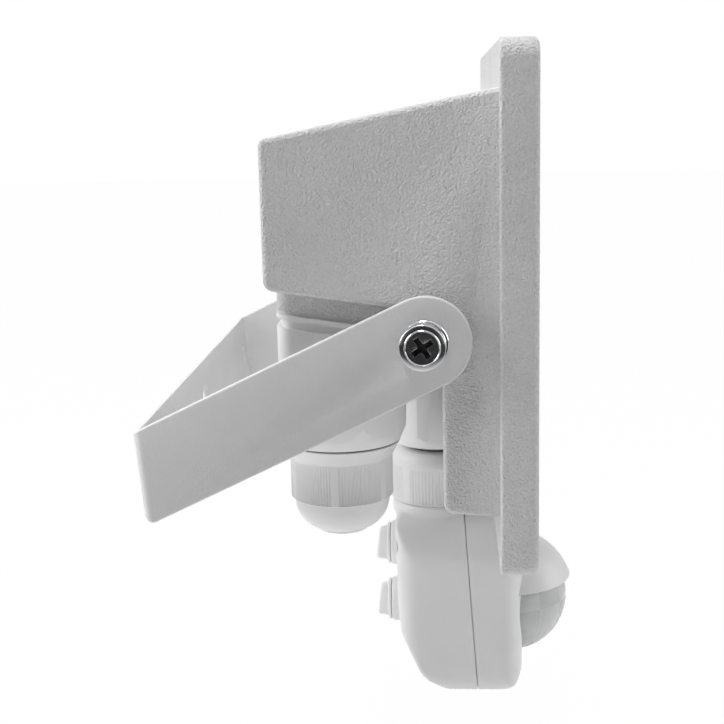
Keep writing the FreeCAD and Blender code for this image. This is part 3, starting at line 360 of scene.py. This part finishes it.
led_yellow = skin_material("led_yellow", (0.8, 0.62, 0.14), (0.9, 0.75, 0.24), (0.35, 0.5),
                           pebble=0.15, dust=0.5, depth=0.02)
dress("front_glass", clear_glass)
dress("glass_seal", black_rubber)
dress("led_board", board_metal)
reflector = eased_copy("reflector", "window_plate", white_reflector, 0.3)
ride_as(reflector, "reflector", "lamp")
plate_screws = eased_copy("board_screws", "plate_screws", steel, 0.12)
ride_as(plate_screws, "board_screws", "lamp")

chip_wide, chip_thick, chip_high = 3.5, 0.7, 2.8
chip_corner, chip_rim, chip_lip, chip_sink = 0.2, 0.4, 0.1, 0.12
chip_columns, chip_rows = 8, 5


def node_box(node):
    """The node's lowest and highest corners, in millimetres."""
    return [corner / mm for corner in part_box(node)]


chip_bm = bmesh.new()
bmesh.ops.create_cube(chip_bm, size=1.0)
bmesh.ops.scale(chip_bm, vec=(chip_wide, chip_thick, chip_high), verts=chip_bm.verts)
ease(chip_bm, [edge for edge in chip_bm.edges
               if abs(edge.verts[0].co.y - edge.verts[1].co.y) > chip_thick / 2],
     chip_corner, 1, clamp=False)
chip_face = [face for face in chip_bm.faces if face.normal.y < -0.9]
bmesh.ops.inset_region(chip_bm, faces=chip_face, thickness=chip_rim, depth=0.0)
bmesh.ops.inset_region(chip_bm, faces=chip_face, thickness=chip_lip, depth=-chip_sink)
for face in chip_face:
    face.material_index = 1
chip_mesh = mesh_of(chip_bm, "light_chip")
chips_low, chips_high = node_box("led_chips")
step_x = (chips_high.x - chips_low.x - chip_wide) / (chip_columns - 1)
step_z = (chips_high.z - chips_low.z - chip_high) / (chip_rows - 1)
chips_bm = bmesh.new()
for column in range(chip_columns):
    for row in range(chip_rows):
        before = len(chips_bm.verts)
        chips_bm.from_mesh(chip_mesh)
        chips_bm.verts.ensure_lookup_table()
        spot = Vector((chips_low.x + chip_wide / 2 + column * step_x,
                       (chips_low.y + chips_high.y) / 2,
                       chips_low.z + chip_high / 2 + row * step_z))
        bmesh.ops.translate(chips_bm, verts=chips_bm.verts[before:], vec=spot)
chips = make_piece(chips_bm, "light_chips", chip_case, led_yellow)
ride_as(chips, "led_chips", "lamp")

# Driver in the rear box: a green board on four cast posts with its taped
# transformer, two sleeved capacitors, a ferrite coil and a rectifier.
green_board = skin_material("green_board", (0.03, 0.15, 0.07), (0.07, 0.26, 0.13),
                            (0.25, 0.4), pebble=1.5, dust=0.5, depth=0.02)
transformer_tape = skin_material("transformer_tape", (0.7, 0.55, 0.1), (0.8, 0.68, 0.2),
                                 (0.4, 0.55), pebble=2.0, dust=0.4, depth=0.03)
capacitor_sleeve = skin_material("capacitor_sleeve", (0.06, 0.08, 0.18), (0.1, 0.13, 0.26),
                                 (0.2, 0.35), pebble=2.0, dust=0.3, depth=0.02)
ferrite = skin_material("ferrite", (0.09, 0.09, 0.1), (0.15, 0.15, 0.16), (0.5, 0.7),
                        pebble=0.4, dust=0.5, depth=0.03)
dress("driver_board", green_board)
dress("driver_screws", steel)
dress("driver_transformer", transformer_tape)
dress("driver_capacitors", capacitor_sleeve)
dress("driver_coil", ferrite)
dress("driver_bridge", ferrite)

# Wall bracket: one strip of 2 mm steel, blanked, folded into a U and powder
# coated smooth white. Its edges are tumbled round and catch the light.
bracket_coat = skin_material("bracket_coat", grey(0.69), grey(0.75), (0.38, 0.52),
                             pebble=0.5, dust=0.25, depth=0.12)
bracket = eased_copy("mounting_bracket", "folded_bracket", bracket_coat, 0.6,
                     segments=3, clamp=False)
ride_as(bracket, "mounting_bracket", "bracket")

# Pivot screws: M6 pan heads with a cross recess, nickel plated, turned down
# on a split spring washer and a flat washer outside each arm. The heads sit a
# little to the wall side in the washers. Outlines are (radius, place across
# the lamp), in millimetres.
chrome_steel = skin_material("chrome_steel", (0.68, 0.68, 0.7), (0.8, 0.8, 0.82),
                             (0.1, 0.22), pebble=1.4, dust=0.5, depth=0.008, metal=1.0)
recess_shade = skin_material("recess_shade", grey(0.02), grey(0.04), (0.5, 0.7),
                             pebble=0.6, dust=0.5, depth=0.02)
screw_seat, screw_face = 97.0, 4.1
screw_turn = -34.0
screw_slack = Vector((0, 0.6, 0))
screw_round, round_centre = 0.25, (5.85, screw_seat + 3.62)
screw_outline = [(0, 81.3), (2.2, 81.3), (2.95, 82.2), (2.95, screw_seat - 0.3),
                 (3.3, screw_seat), (6.0, screw_seat), (6.1, screw_seat + 0.12),
                 (6.1, screw_seat + 2.55)]
screw_outline += [(round_centre[0] + screw_round * math.cos(math.radians(a)),
                   round_centre[1] + screw_round * math.sin(math.radians(a)))
                  for a in (0, 25, 50, 75)]
screw_outline += [(4.78, screw_seat + 4.05), (4.66, screw_seat + 4.18), (4.5, screw_seat + 4.2),
                  (4.36, screw_seat + 4.08), (0, screw_seat + screw_face)]
recess_wide, recess_span, recess_deep = 1.9, 7.9, 2.4
recess_corner, recess_taper, recess_brink = 0.7, 0.6, 0.2
sunk_low, sunk_high, sunk_margin = screw_seat + 0.5, screw_seat + 4.07, 0.1
split_outline = [(3.2, 95.25), (5.5, 95.25), (5.6, 95.35), (5.6, 96.75), (5.5, 96.85),
                 (3.2, 96.85)]
split_start, split_degrees = 0.35, 352
flat_outline = [(3.1, 94.05), (6.1, 94.05), (6.25, 94.2), (6.25, 95.0), (6.1, 95.15),
                (3.1, 95.15)]
turned_steps, split_steps = 64, 60
weld_gap = 0.0005


def spun(bm, profile, axis, centre, steps):
    """Turns a closed profile of points about an axis into one solid."""
    verts = [bm.verts.new(point) for point in profile]
    edges = [bm.edges.new((verts[i - 1], verts[i])) for i in range(len(verts))]
    bmesh.ops.spin(bm, geom=verts + edges, cent=centre, axis=axis, angle=math.tau,
                   steps=steps, use_merge=True)
    bmesh.ops.remove_doubles(bm, verts=bm.verts, dist=weld_gap)
    bmesh.ops.recalc_face_normals(bm, faces=bm.faces)


def spun_across(outline, side, pivot):
    """A piece turned about the pivot's axis, from its (radius, place) outline."""
    bm = bmesh.new()
    spun(bm, [(side * along, pivot.y + radius, pivot.z) for radius, along in outline],
         (1, 0, 0), (0, pivot.y, pivot.z), turned_steps)
    return bm


def mesh_object(bm, name):
    return add_object(name, mesh_of(bm, name))


def settled(piece):
    """Puts what the piece's modifiers make into its mesh."""
    bpy.context.view_layer.update()
    graph = bpy.context.evaluated_depsgraph_get()
    done = bpy.data.meshes.new_from_object(piece.evaluated_get(graph))
    piece.modifiers.clear()
    piece.data = done


def carve(piece, tool, operation="DIFFERENCE"):
    step = piece.modifiers.new("carve", "BOOLEAN")
    step.operation = operation
    step.solver = "EXACT"
    step.object = tool
    settled(piece)
    bpy.data.objects.remove(tool)


def taken_back(piece):
    """A bmesh of the piece's mesh, with the piece itself gone."""
    bm = bmesh.new()
    bm.from_mesh(piece.data)
    bpy.data.objects.remove(piece)
    return bm


def extruded_verts(bm):
    """Doubles the open face and gives back the new end's points, not yet moved."""
    grown = bmesh.ops.extrude_face_region(bm, geom=bm.faces[:])["geom"]
    return [g for g in grown if isinstance(g, bmesh.types.BMVert)]


def cross_tool(side, pivot):
    """The tapered cross that the driver's bit leaves in a screw head."""
    wide, span = recess_wide / 2, recess_span / 2
    bm = bmesh.new()
    verts = [bm.verts.new((0, *(Matrix.Rotation(math.radians(arm), 2) @ Vector(spot))))
             for arm in (0, 90, 180, 270)
             for spot in ((span, -wide), (span, wide), (wide, wide))]
    bm.faces.new(verts)
    ease(bm, verts[2::3], recess_corner, 4, affect="VERTICES", clamp=False)
    deep_end = extruded_verts(bm)
    bmesh.ops.translate(bm, verts=deep_end, vec=(-2 * recess_deep * side, 0, 0))
    bmesh.ops.scale(bm, vec=(1, recess_taper, recess_taper), verts=deep_end)
    bmesh.ops.recalc_face_normals(bm, faces=bm.faces)
    bmesh.ops.rotate(bm, cent=(0, 0, 0), verts=bm.verts,
                     matrix=Matrix.Rotation(math.radians(screw_turn), 3, "X"))
    bmesh.ops.translate(bm, verts=bm.verts, vec=(
        side * (screw_seat + screw_face + recess_deep), pivot.y, pivot.z))
    return mesh_object(bm, "recess_tool")


for side, label in ((-1, "left"), (1, "right")):
    screw_low, screw_high = node_box("pivot_screw_" + label)
    axis_spot = (screw_low + screw_high) / 2
    pivot = axis_spot + screw_slack
    bm = spun_across(screw_outline, side, pivot)
    soft_normals(bm, 30)
    screw = mesh_object(bm, "pivot_screw")
    carve(screw, cross_tool(side, pivot))
    bm = taken_back(screw)
    sunk = set()
    for face in bm.faces:
        spot = face.calc_center_median()
        across = math.hypot(spot.y - pivot.y, spot.z - pivot.z)
        if across < recess_span / 2 + sunk_margin and sunk_low < spot.x * side < sunk_high:
            face.material_index = 1
            sunk.add(face)
    brink = [edge for edge in bm.edges
             if len(edge.link_faces) == 2 and len(sunk.intersection(edge.link_faces)) == 1]
    ease(bm, brink, recess_brink, 2, material=0)
    screw = make_piece(bm, "pan_screw_" + label, chrome_steel, recess_shade)
    ride_as(screw, "pivot_screw_" + label, "lamp")

    bm = bmesh.new()
    verts = [bm.verts.new((side * along, axis_spot.y + split_start, axis_spot.z + radius))
             for radius, along in split_outline]
    face = bm.faces.new(verts)
    bmesh.ops.spin(bm, geom=[face] + verts + list(face.edges), cent=axis_spot, axis=(1, 0, 0),
                   angle=math.radians(split_degrees), steps=split_steps)
    bmesh.ops.recalc_face_normals(bm, faces=bm.faces)
    soft_normals(bm, 40)
    washer = make_piece(bm, "split_washer_" + label, chrome_steel)
    ride_as(washer, "spring_washer_" + label, "lamp")

    bm = spun_across(flat_outline, side, axis_spot)
    soft_normals(bm, 40)
    washer = make_piece(bm, "round_washer_" + label, chrome_steel)
    ride_as(washer, "flat_washer_" + label, "lamp")

# Cable cover: white moulded box under the casting, held by four screws from
# below on a rubber seal, with an octagonal spout for the gland and another
# for the sensor's stud. The terminal block stands inside it.
white_plastic = skin_material("white_plastic", grey(0.82), grey(0.87), (0.36, 0.48),
                              pebble=0.7, dust=0.2, depth=0.012)
terminal_plastic = skin_material("terminal_plastic", (0.55, 0.55, 0.53), (0.63, 0.63, 0.61),
                                 (0.4, 0.55), pebble=0.6, dust=0.3, depth=0.02)
cap_axis = Vector((-46.3, -51.3))
cap_reach = 24.0
cap_foot, cap_top = 10.0, 28.5
cap_press = 0.65


def lower_cap(bm):
    """The cap of the gland's spout stops lower, hidden by the bracket's arm."""
    for vert in bm.verts:
        near = (vert.co.xy - cap_axis).length < cap_reach
        if near and cap_foot < vert.co.z < cap_top:
            vert.co.z = cap_foot + (vert.co.z - cap_foot) * cap_press


cover = eased_copy("terminal_cover", "cable_cover", white_plastic, 0.35, reshape=lower_cap)
ride_as(cover, "terminal_cover", "lamp")
block = eased_copy("terminal_block", "terminal_strip", terminal_plastic, 0.3)
ride_as(block, "terminal_block", "lamp")
pale_seal = skin_material("pale_seal", grey(0.74), grey(0.8), (0.45, 0.6),
                          pebble=0.5, dust=0.3, depth=0.02)
dress("cover_seal", pale_seal)
dress("cover_screws", steel)

# Cable gland: a ribbed dome nut drives a ring of fingers and a rubber seal on
# to the cable. It seats on a thin black washer under the spout. Outlines are
# (radius, height) here, and the ribs stand in six bands.
rib_bands, rib_depth = 6, 0.28
rib_columns, rib_tolerance = 4, 0.02
grip_edge = 0.1
gland_smooth_turn = 177.0
gland_slots, gland_ribs = 18, 15
gland_radius, gland_grip = 15.8, (17.1, 5.1)
gland_play = 0.03
dome_radius, dome_rise, dome_foot, dome_fullness = 14.75, 10.85, 17.55, 0.6


def ribbed(bm, centre, radius, low, high, slots, ribs, band_degrees):
    """Presses the valleys between small ribs into a spun wall, four columns a rib."""
    columns = rib_bands * slots * rib_columns
    for vert in bm.verts:
        across = Vector((vert.co.x - centre.x, vert.co.y - centre.y))
        if not low < vert.co.z < high or abs(across.length - radius) > rib_tolerance:
            continue
        share = (math.atan2(across.y, across.x) - math.radians(band_degrees)) / math.tau
        column = round(share * columns + (ribs - slots) * 2) % columns
        if (column // rib_columns) % slots < ribs and column % rib_columns in (0, 3):
            pressed = across * (1 - rib_depth / radius)
            vert.co.x, vert.co.y = centre.x + pressed.x, centre.y + pressed.y


def spun_upright(outline, centre, start_degrees, slots):
    """A nut turned about its upright axis, with four columns of faces a rib."""
    start = math.radians(start_degrees)
    bm = bmesh.new()
    spun(bm, [(centre.x + radius * math.cos(start), centre.y + radius * math.sin(start), height)
              for radius, height in outline],
         (0, 0, 1), centre, rib_bands * slots * rib_columns)
    return bm


def grip_wall(radius, low, high):
    """The ribbed wall's points: a close pair at each end, and the middle."""
    return [(radius, high + grip_edge), (radius, high - grip_edge), (radius, (low + high) / 2),
            (radius, low + grip_edge), (radius, low - grip_edge)]


gland_low, gland_high = node_box("gland_nut")
gland = (gland_low + gland_high) / 2
top = gland_high.z - gland_play
dome = [(dome_radius * math.cos(math.radians(a)) ** dome_fullness,
         top - dome_foot - dome_rise * math.sin(math.radians(a))) for a in range(4, 72, 6)]
grip_low, grip_high = (top - drop for drop in gland_grip)
outline = [(12.05, top), (18.05, top), (18.25, top - 0.25), (15.95, top - 4.35),
           (gland_radius, top - 4.7)]
outline += grip_wall(gland_radius, grip_low, grip_high)
outline += [(15.6, top - 17.35), (14.85, top - 17.5)] + dome
outline += [(7.6, top - 28.35), (6.5, top - 28.4), (6.05, top - 27.9), (6.05, top - 21.6),
            (9.4, top - 20.0), (12.05, top - 15.0)]
bm = spun_upright(outline, gland, gland_smooth_turn, gland_slots)
ribbed(bm, gland, gland_radius, grip_low, grip_high, gland_slots, gland_ribs,
       gland_smooth_turn)
soft_normals(bm, 24)
nut = make_piece(bm, "ribbed_dome_nut", white_plastic)
ride_as(nut, "gland_nut", "gland_nut")
dress("gland_washer", black_rubber)
dress("gland_claw", white_plastic)
dress("gland_seal", black_rubber)

# Ball joint of the sensor: a ball stud under the spout, a rubber friction
# ring and a ribbed clamp nut that squeezes the head's cup on to the ball.
grey_plastic = skin_material("grey_plastic", grey(0.5), grey(0.58), (0.4, 0.55),
                             pebble=0.5, dust=0.3, depth=0.015)
dress("ball_stud", grey_plastic)
dress("ball_ring", black_rubber)
clamp_smooth_turn = 200.0
clamp_slots, clamp_ribs = 14, 11
clamp_radius, clamp_grip = 15.5, (16.7, 5.1)
clamp_round = 4.0
cavity_radius, cavity_centre = 11.3, 10.1
nut_low, nut_high = node_box("sensor_clamp_nut")
swivel = (nut_low + nut_high) / 2
top = nut_high.z
shoulder = [(clamp_radius - clamp_round + clamp_round * math.sin(math.radians(a)),
             top - clamp_round + clamp_round * math.cos(math.radians(a)))
            for a in range(0, 91, 10)]
cavity = [(math.sqrt(cavity_radius ** 2 - (cavity_centre - drop) ** 2), top - drop)
          for drop in (10.0, 8.5, 7.0, 5.5, 4.2, 3.1)]
grip_low, grip_high = (top - drop for drop in clamp_grip)
outline = [(8.9, top)] + shoulder + grip_wall(clamp_radius, grip_low, grip_high)
outline += [(15.4, top - 17.1), (15.2, top - 17.2), (13.05, top - 17.2), (13.05, top - 10.3),
            (11.4, top - 10.3)]
outline += cavity + [(8.5, top - 2.5), (8.5, top - 0.4)]
bm = spun_upright(outline, swivel, clamp_smooth_turn, clamp_slots)
ribbed(bm, swivel, clamp_radius, grip_low, grip_high, clamp_slots, clamp_ribs,
       clamp_smooth_turn)
soft_normals(bm, 24)
nut = make_piece(bm, "ribbed_clamp_nut", white_plastic)
ride_as(nut, "sensor_clamp_nut", "sensor_nut")

# Sensor head: two satin white shells moulded 2 mm thick, that meet at a
# leaning seam and are screwed together from the back. The rear one carries
# the cup of the ball joint and two knob bosses, the front one the hood.
sensor_plastic = skin_material("sensor_plastic", grey(0.83), grey(0.88), (0.3, 0.42),
                               pebble=0.8, dust=0.2, depth=0.01)
head_half, head_wall = 24.0, 2.0
head_corner, head_crown, chin_round, brow_round = 8.5, 14.0, 10.0, 6.0
rear_corner, plan_share = 2.5, 0.85
belly_in, belly_drop = 1.2, 38.0
waist_in, waist_drop, foot_in = 8.6, 54.0, 18.5
head_tall, nut_clearance = 60.8, 3.3
head_top = nut_low.z - nut_clearance
head_foot = head_top - head_tall
head_face, head_rear = swivel.y - 28.0, swivel.y + 14.0
collar_radius, collar_rise, cup_radius = 15.2, 3.0, 12.9
cup_top = nut_high.z - 10.7
ball_centre, ball_room = nut_high.z - 10.1, 8.8
lens_sink, lens_drop, lens_opening = 3.5, 32.4, 20.3
lens_spot = Vector((0, head_face + lens_sink, head_top - lens_drop))
hood_radius, hood_wall, hood_ease = 22.0, 1.7, 0.45
hood_rise, hood_sink, hood_lean = 6.8, 1.2, math.radians(2.0)
hood_edge = ((0, head_face, lens_spot.z + hood_rise),
             (0, -math.sin(hood_lean), -math.cos(hood_lean)))
hood_back = ((0, head_face + hood_sink, 0), (0, 1, 0))
knob_drops = (14.3, 34.8)
knob_boss_radius, knob_boss_rise, knob_hole_radius = 7.6, 2.3, 2.55
shell_screw_across = (-17.5, 17.5)
shell_screw_drops, shell_screw_depths = (9.0, 52.0), (3.5, 10.6)
shell_post_radius, shell_hole_radius = 3.2, 2.9
seam_high, seam_low = swivel.y - 9.1, swivel.y - 13.2
seam_spot = Vector((0, seam_high, head_top))
seam_way = Vector((0, head_top - head_foot, seam_low - seam_high)).normalized()
seam_gap = 0.32
lip_inset, lip_wall_inset, lip_half = 0.9, head_wall + 0.4, 0.8
skin_voxel, skin_rounds = 0.6, 8


def prism(outline, place, push):
    """An outline of (a, b, corner radius) pushed along one axis."""
    bm = bmesh.new()
    verts = [bm.verts.new(place(a, b)) for a, b, radius in outline]
    bm.faces.new(verts)
    spots = [vert.co.copy() for vert in verts]
    for index, (vert, (a, b, radius)) in enumerate(zip(verts, outline)):
        before = spots[index - 1] - spots[index]
        after = spots[(index + 1) % len(spots)] - spots[index]
        if radius:
            ease(bm, [vert], radius / math.tan(before.angle(after) / 2), 10,
                 affect="VERTICES", clamp=False)
    bmesh.ops.translate(bm, vec=push, verts=extruded_verts(bm))
    bmesh.ops.recalc_face_normals(bm, faces=bm.faces)
    return bm


def head_body(inset):
    """The whole head as one solid, or its hollow when inset by the wall."""
    half = head_half - inset
    high, low = head_top - inset, head_foot + inset
    rear, face = head_rear - inset, head_face + inset
    big = max(head_corner - inset, 1.0)
    side = [(rear, high, rear_corner), (rear - belly_in, head_top - belly_drop, big),
            (rear - waist_in, head_top - waist_drop + inset / 2, big),
            (rear - foot_in, low, big),
            (face, low, chin_round - inset), (face, high, brow_round - inset)]
    solid = mesh_object(prism(side, lambda y, z: (-half, y, z), (2 * half, 0, 0)), "head_side")
    plan = [(x, y, big * plan_share)
            for x, y in ((-half, face), (half, face), (half, rear), (-half, rear))]
    tool = prism(plan, lambda x, y: (x, y, low - 1), (0, 0, high - low + 2))
    carve(solid, mesh_object(tool, "head_plan"), "INTERSECT")
    crown = head_crown - inset
    front = [(-half, low, big), (half, low, big), (half, high, crown), (-half, high, crown)]
    tool = prism(front, lambda x, z: (x, face - 1, z), (0, rear - face + 2, 0))
    carve(solid, mesh_object(tool, "head_front"), "INTERSECT")
    return solid


def drum(radius, low, high, spot, axis, segments=64):
    bm = bmesh.new()
    bmesh.ops.create_cone(bm, cap_ends=True, segments=segments, radius1=radius,
                          radius2=radius, depth=high - low)
    bmesh.ops.translate(bm, verts=bm.verts, vec=(0, 0, (low + high) / 2))
    if axis == "Y":
        bmesh.ops.rotate(bm, cent=(0, 0, 0), verts=bm.verts,
                         matrix=Matrix.Rotation(-math.pi / 2, 3, "X"))
    bmesh.ops.translate(bm, verts=bm.verts, vec=spot)
    return mesh_object(bm, "drum")


def ball(radius, spot, around):
    bm = bmesh.new()
    bmesh.ops.create_uvsphere(bm, u_segments=around, v_segments=around // 2, radius=radius)
    bmesh.ops.translate(bm, verts=bm.verts, vec=spot)
    return bm


def cut_off(bm, spot, way):
    """Takes away all that lies past the plane, and leaves the cut open."""
    bmesh.ops.bisect_plane(bm, geom=bm.verts[:] + bm.edges[:] + bm.faces[:], plane_co=spot,
                           plane_no=way, clear_outer=True)


def cut_at_seam(bm, spot, way):
    """Cuts at a plane along the seam and closes the cut with faces."""
    cut_off(bm, spot, way)
    open_rim = [edge for edge in bm.edges if len(edge.link_faces) == 1]
    bmesh.ops.triangle_fill(bm, edges=open_rim, use_beauty=True, normal=way)


outer = head_body(0.0)
stem = Vector((0, swivel.y, 0))
carve(outer, drum(collar_radius, head_top - 2, head_top + collar_rise, stem, "Z", 96), "UNION")
carve(outer, drum(cup_radius, head_top, cup_top, stem, "Z", 96), "UNION")
for drop in knob_drops:
    spot = Vector((0, 0, head_top - drop))
    carve(outer, drum(knob_boss_radius, head_rear - 3, head_rear + knob_boss_rise, spot, "Y"),
          "UNION")
skin = outer.modifiers.new("skin", "REMESH")
skin.mode = "VOXEL"
skin.voxel_size = skin_voxel
settled(outer)
bm = taken_back(outer)
for _ in range(skin_rounds):
    bmesh.ops.smooth_vert(bm, verts=bm.verts, factor=0.5, use_axis_x=True, use_axis_y=True,
                          use_axis_z=True)
outer = mesh_object(bm, "head_outer")
hollow = head_body(head_wall)
for across in shell_screw_across:
    for drop in shell_screw_drops:
        spot = Vector((across, 0, head_top - drop))
        carve(hollow, drum(shell_post_radius, head_face - 5, head_rear + 5, spot, "Y", 32))
carve(outer, hollow)
carve(outer, mesh_object(ball(ball_room, (0, swivel.y, ball_centre), 96), "ball_tool"))
carve(outer, mesh_object(ball(lens_opening, lens_spot, 128), "lens_tool"))
for across in shell_screw_across:
    for drop, depth in zip(shell_screw_drops, shell_screw_depths):
        spot = Vector((across, 0, head_top - drop))
        carve(outer, drum(shell_hole_radius, head_rear - depth, head_rear + 5, spot, "Y", 32))
for drop in knob_drops:
    spot = Vector((0, 0, head_top - drop))
    carve(outer, drum(knob_hole_radius, head_rear - 4, head_rear + 4, spot, "Y", 32))

lip = head_body(lip_inset)
carve(lip, head_body(lip_wall_inset))
lip = taken_back(lip)
for keep in (1, -1):
    cut_at_seam(lip, seam_spot - seam_way * keep * lip_half, seam_way * -keep)
lip_mesh = mesh_of(lip, "seam_lip")
hood = ball(hood_radius, lens_spot, 128)
cut_off(hood, *hood_edge)
cut_off(hood, *hood_back)
bmesh.ops.recalc_face_normals(hood, faces=hood.faces)
bmesh.ops.solidify(hood, geom=hood.faces[:], thickness=hood_wall)
rim = [edge for edge in hood.edges
       if len(edge.link_faces) == 2 and edge.calc_face_angle(0) > 1.0]
ease(hood, rim, hood_ease, 3)
hood_mesh = mesh_of(hood, "hood")
whole = taken_back(outer)
for label, keep, own_form in (("rear", 1, lip_mesh), ("front", -1, hood_mesh)):
    bm = whole.copy()
    cut_at_seam(bm, seam_spot + seam_way * keep * seam_gap / 2, seam_way * -keep)
    bmesh.ops.remove_doubles(bm, verts=bm.verts, dist=weld_gap)
    bm.from_mesh(own_form)
    soft_normals(bm, 34)
    shell = make_piece(bm, "head_shell_" + label, sensor_plastic)
    ride_as(shell, "sensor_" + label + "_shell", "sensor_head")
whole.free()
dress("head_screws", steel)

# Lens: a thin milky dome of pressed Fresnel panels, clipped in from behind
# by its flange. Shallow grooves part the panels, and every other panel gets a
# darker copy of the lens plastic: painted shade for how light falls on them.
lens_plastic = skin_material("lens_plastic", (0.58, 0.59, 0.59), (0.64, 0.65, 0.65),
                             (0.28, 0.4), pebble=0.5, dust=0.5, depth=0.02)
# Painted shade: the same lens plastic a little darker, for every other panel.
lens_painted_shade = skin_material("lens_painted_shade", (0.54, 0.55, 0.55), (0.6, 0.61, 0.61), (0.2, 0.3),
                         pebble=0.5, dust=0.5, depth=0.02)
milk_depth = 2 * mm
for panel in (lens_plastic, lens_painted_shade):
    lens_shader = panel.node_tree.nodes["Principled BSDF"]
    lens_shader.inputs["Subsurface Weight"].default_value = 0.2
    lens_shader.inputs["Subsurface Radius"].default_value = (milk_depth,) * 3
lens_radius, lens_wall, lens_groove = 19.5, 0.9, 0.22
lens_around = 120
face_degrees = 360 / lens_around
panel_wide, panel_high = 30, 45
groove_rows, groove_top = (-16, -8, 0, 8, 16), 22
flange_growth, flange_sink = 1.1, 2


def round_and_up(spot):
    """A point's two angles on the lens, in degrees round it and up it."""
    share = max(-1, min(1, spot.z / lens_radius))
    return math.degrees(math.atan2(spot.y, spot.x)), math.degrees(math.asin(share))


bm = bmesh.new()
bmesh.ops.create_uvsphere(bm, u_segments=lens_around, v_segments=lens_around // 2,
                          radius=lens_radius)
for vert in bm.verts:
    turn, lift = round_and_up(vert.co)
    column = round(turn / face_degrees) % round(panel_wide / face_degrees)
    row = round(lift / face_degrees)
    if (column == 0 and abs(row) < groove_top) or row in groove_rows:
        vert.co *= 1 - lens_groove / lens_radius
# Every other panel takes the painted shade copy of the lens plastic.
for face in bm.faces:
    turn, lift = round_and_up(face.calc_center_median())
    face.material_index = (math.floor(turn / panel_wide) + math.floor(lift / panel_high)) % 2
bmesh.ops.translate(bm, verts=bm.verts, vec=lens_spot)
cut_off(bm, (0, head_face + flange_sink, 0), (0, 1, 0))
back = [edge for edge in bm.edges if len(edge.link_faces) == 1]
flange = bmesh.ops.extrude_edge_only(bm, edges=back)["geom"]
bmesh.ops.scale(bm, vec=(flange_growth, 1, flange_growth),
                space=Matrix.Translation(-lens_spot),
                verts=[g for g in flange if isinstance(g, bmesh.types.BMVert)])
bmesh.ops.recalc_face_normals(bm, faces=bm.faces)
bmesh.ops.solidify(bm, geom=bm.faces[:], thickness=lens_wall)
soft_normals(bm, 40)
lens = make_piece(bm, "panelled_lens", lens_plastic, lens_painted_shade)
ride_as(lens, "fresnel_lens", "sensor_head")

# Inside the head: the detector's board behind the lens, the control board
# with its relay at the back, four legs between them and two potentiometers.
cell_face = skin_material("cell_face", (0.45, 0.22, 0.08), (0.6, 0.34, 0.14), (0.2, 0.35),
                          pebble=0.5, dust=0.5, depth=0.02)
dress("sensor_board", green_board)
dress("control_board", green_board)
dress("pir_detector", steel)
dress("light_cell", cell_face)
dress("board_spacers", grey_plastic)
dress("potentiometers", terminal_plastic)
dress("sensor_relay", terminal_plastic)

# Knobs for time and light level: small moulded wings on round plates, pushed
# on to the potentiometers through the bosses. Each stands turned a little.
knob_plastic = skin_material("knob_plastic", grey(0.9), grey(0.94), (0.28, 0.4),
                             pebble=0.6, dust=0.3, depth=0.01)
knob_rise = 5.6
knob_outline = [(0, -6.8), (2.3, -6.8), (2.5, -6.5), (2.5, 0), (6.9, 0), (7.05, 0.15),
                (7.05, 0.7), (6.8, 0.95), (0, 0.95)]
wing_size = (3.6, 4.6, 12.0)
wing_middle, wing_slant, wing_ease = 2.7, 1.3, 0.8
wing_taper = (0.8, 1, 0.88)
for node, degrees in (("time_knob", 9), ("lux_knob", 6)):
    knob_low, knob_high = node_box(node)
    spot = (knob_low + knob_high) / 2
    base = knob_high.y - knob_rise
    bm = bmesh.new()
    spun(bm, [(radius, base + height, spot.z) for radius, height in knob_outline],
         (0, 1, 0), (0, 0, spot.z), turned_steps)
    wing = bmesh.ops.create_cube(bm, size=1.0)["verts"]
    bmesh.ops.scale(bm, vec=wing_size, verts=wing)
    bmesh.ops.translate(bm, verts=wing, vec=(0, base + wing_middle, spot.z))
    outer_end = [vert for vert in wing if vert.co.y > base + wing_middle]
    bmesh.ops.scale(bm, vec=wing_taper, verts=outer_end,
                    space=Matrix.Translation((0, 0, -spot.z)))
    for vert in outer_end:
        if vert.co.z > spot.z:
            vert.co.y -= wing_slant
    ease(bm, list({edge for vert in wing for edge in vert.link_edges}), wing_ease, 3)
    bmesh.ops.rotate(bm, cent=(0, 0, spot.z), verts=bm.verts,
                     matrix=Matrix.Rotation(math.radians(degrees), 3, "Y"))
    soft_normals(bm, 40)
    knob = make_piece(bm, "wing_" + node, knob_plastic)
    ride_as(knob, node, node)
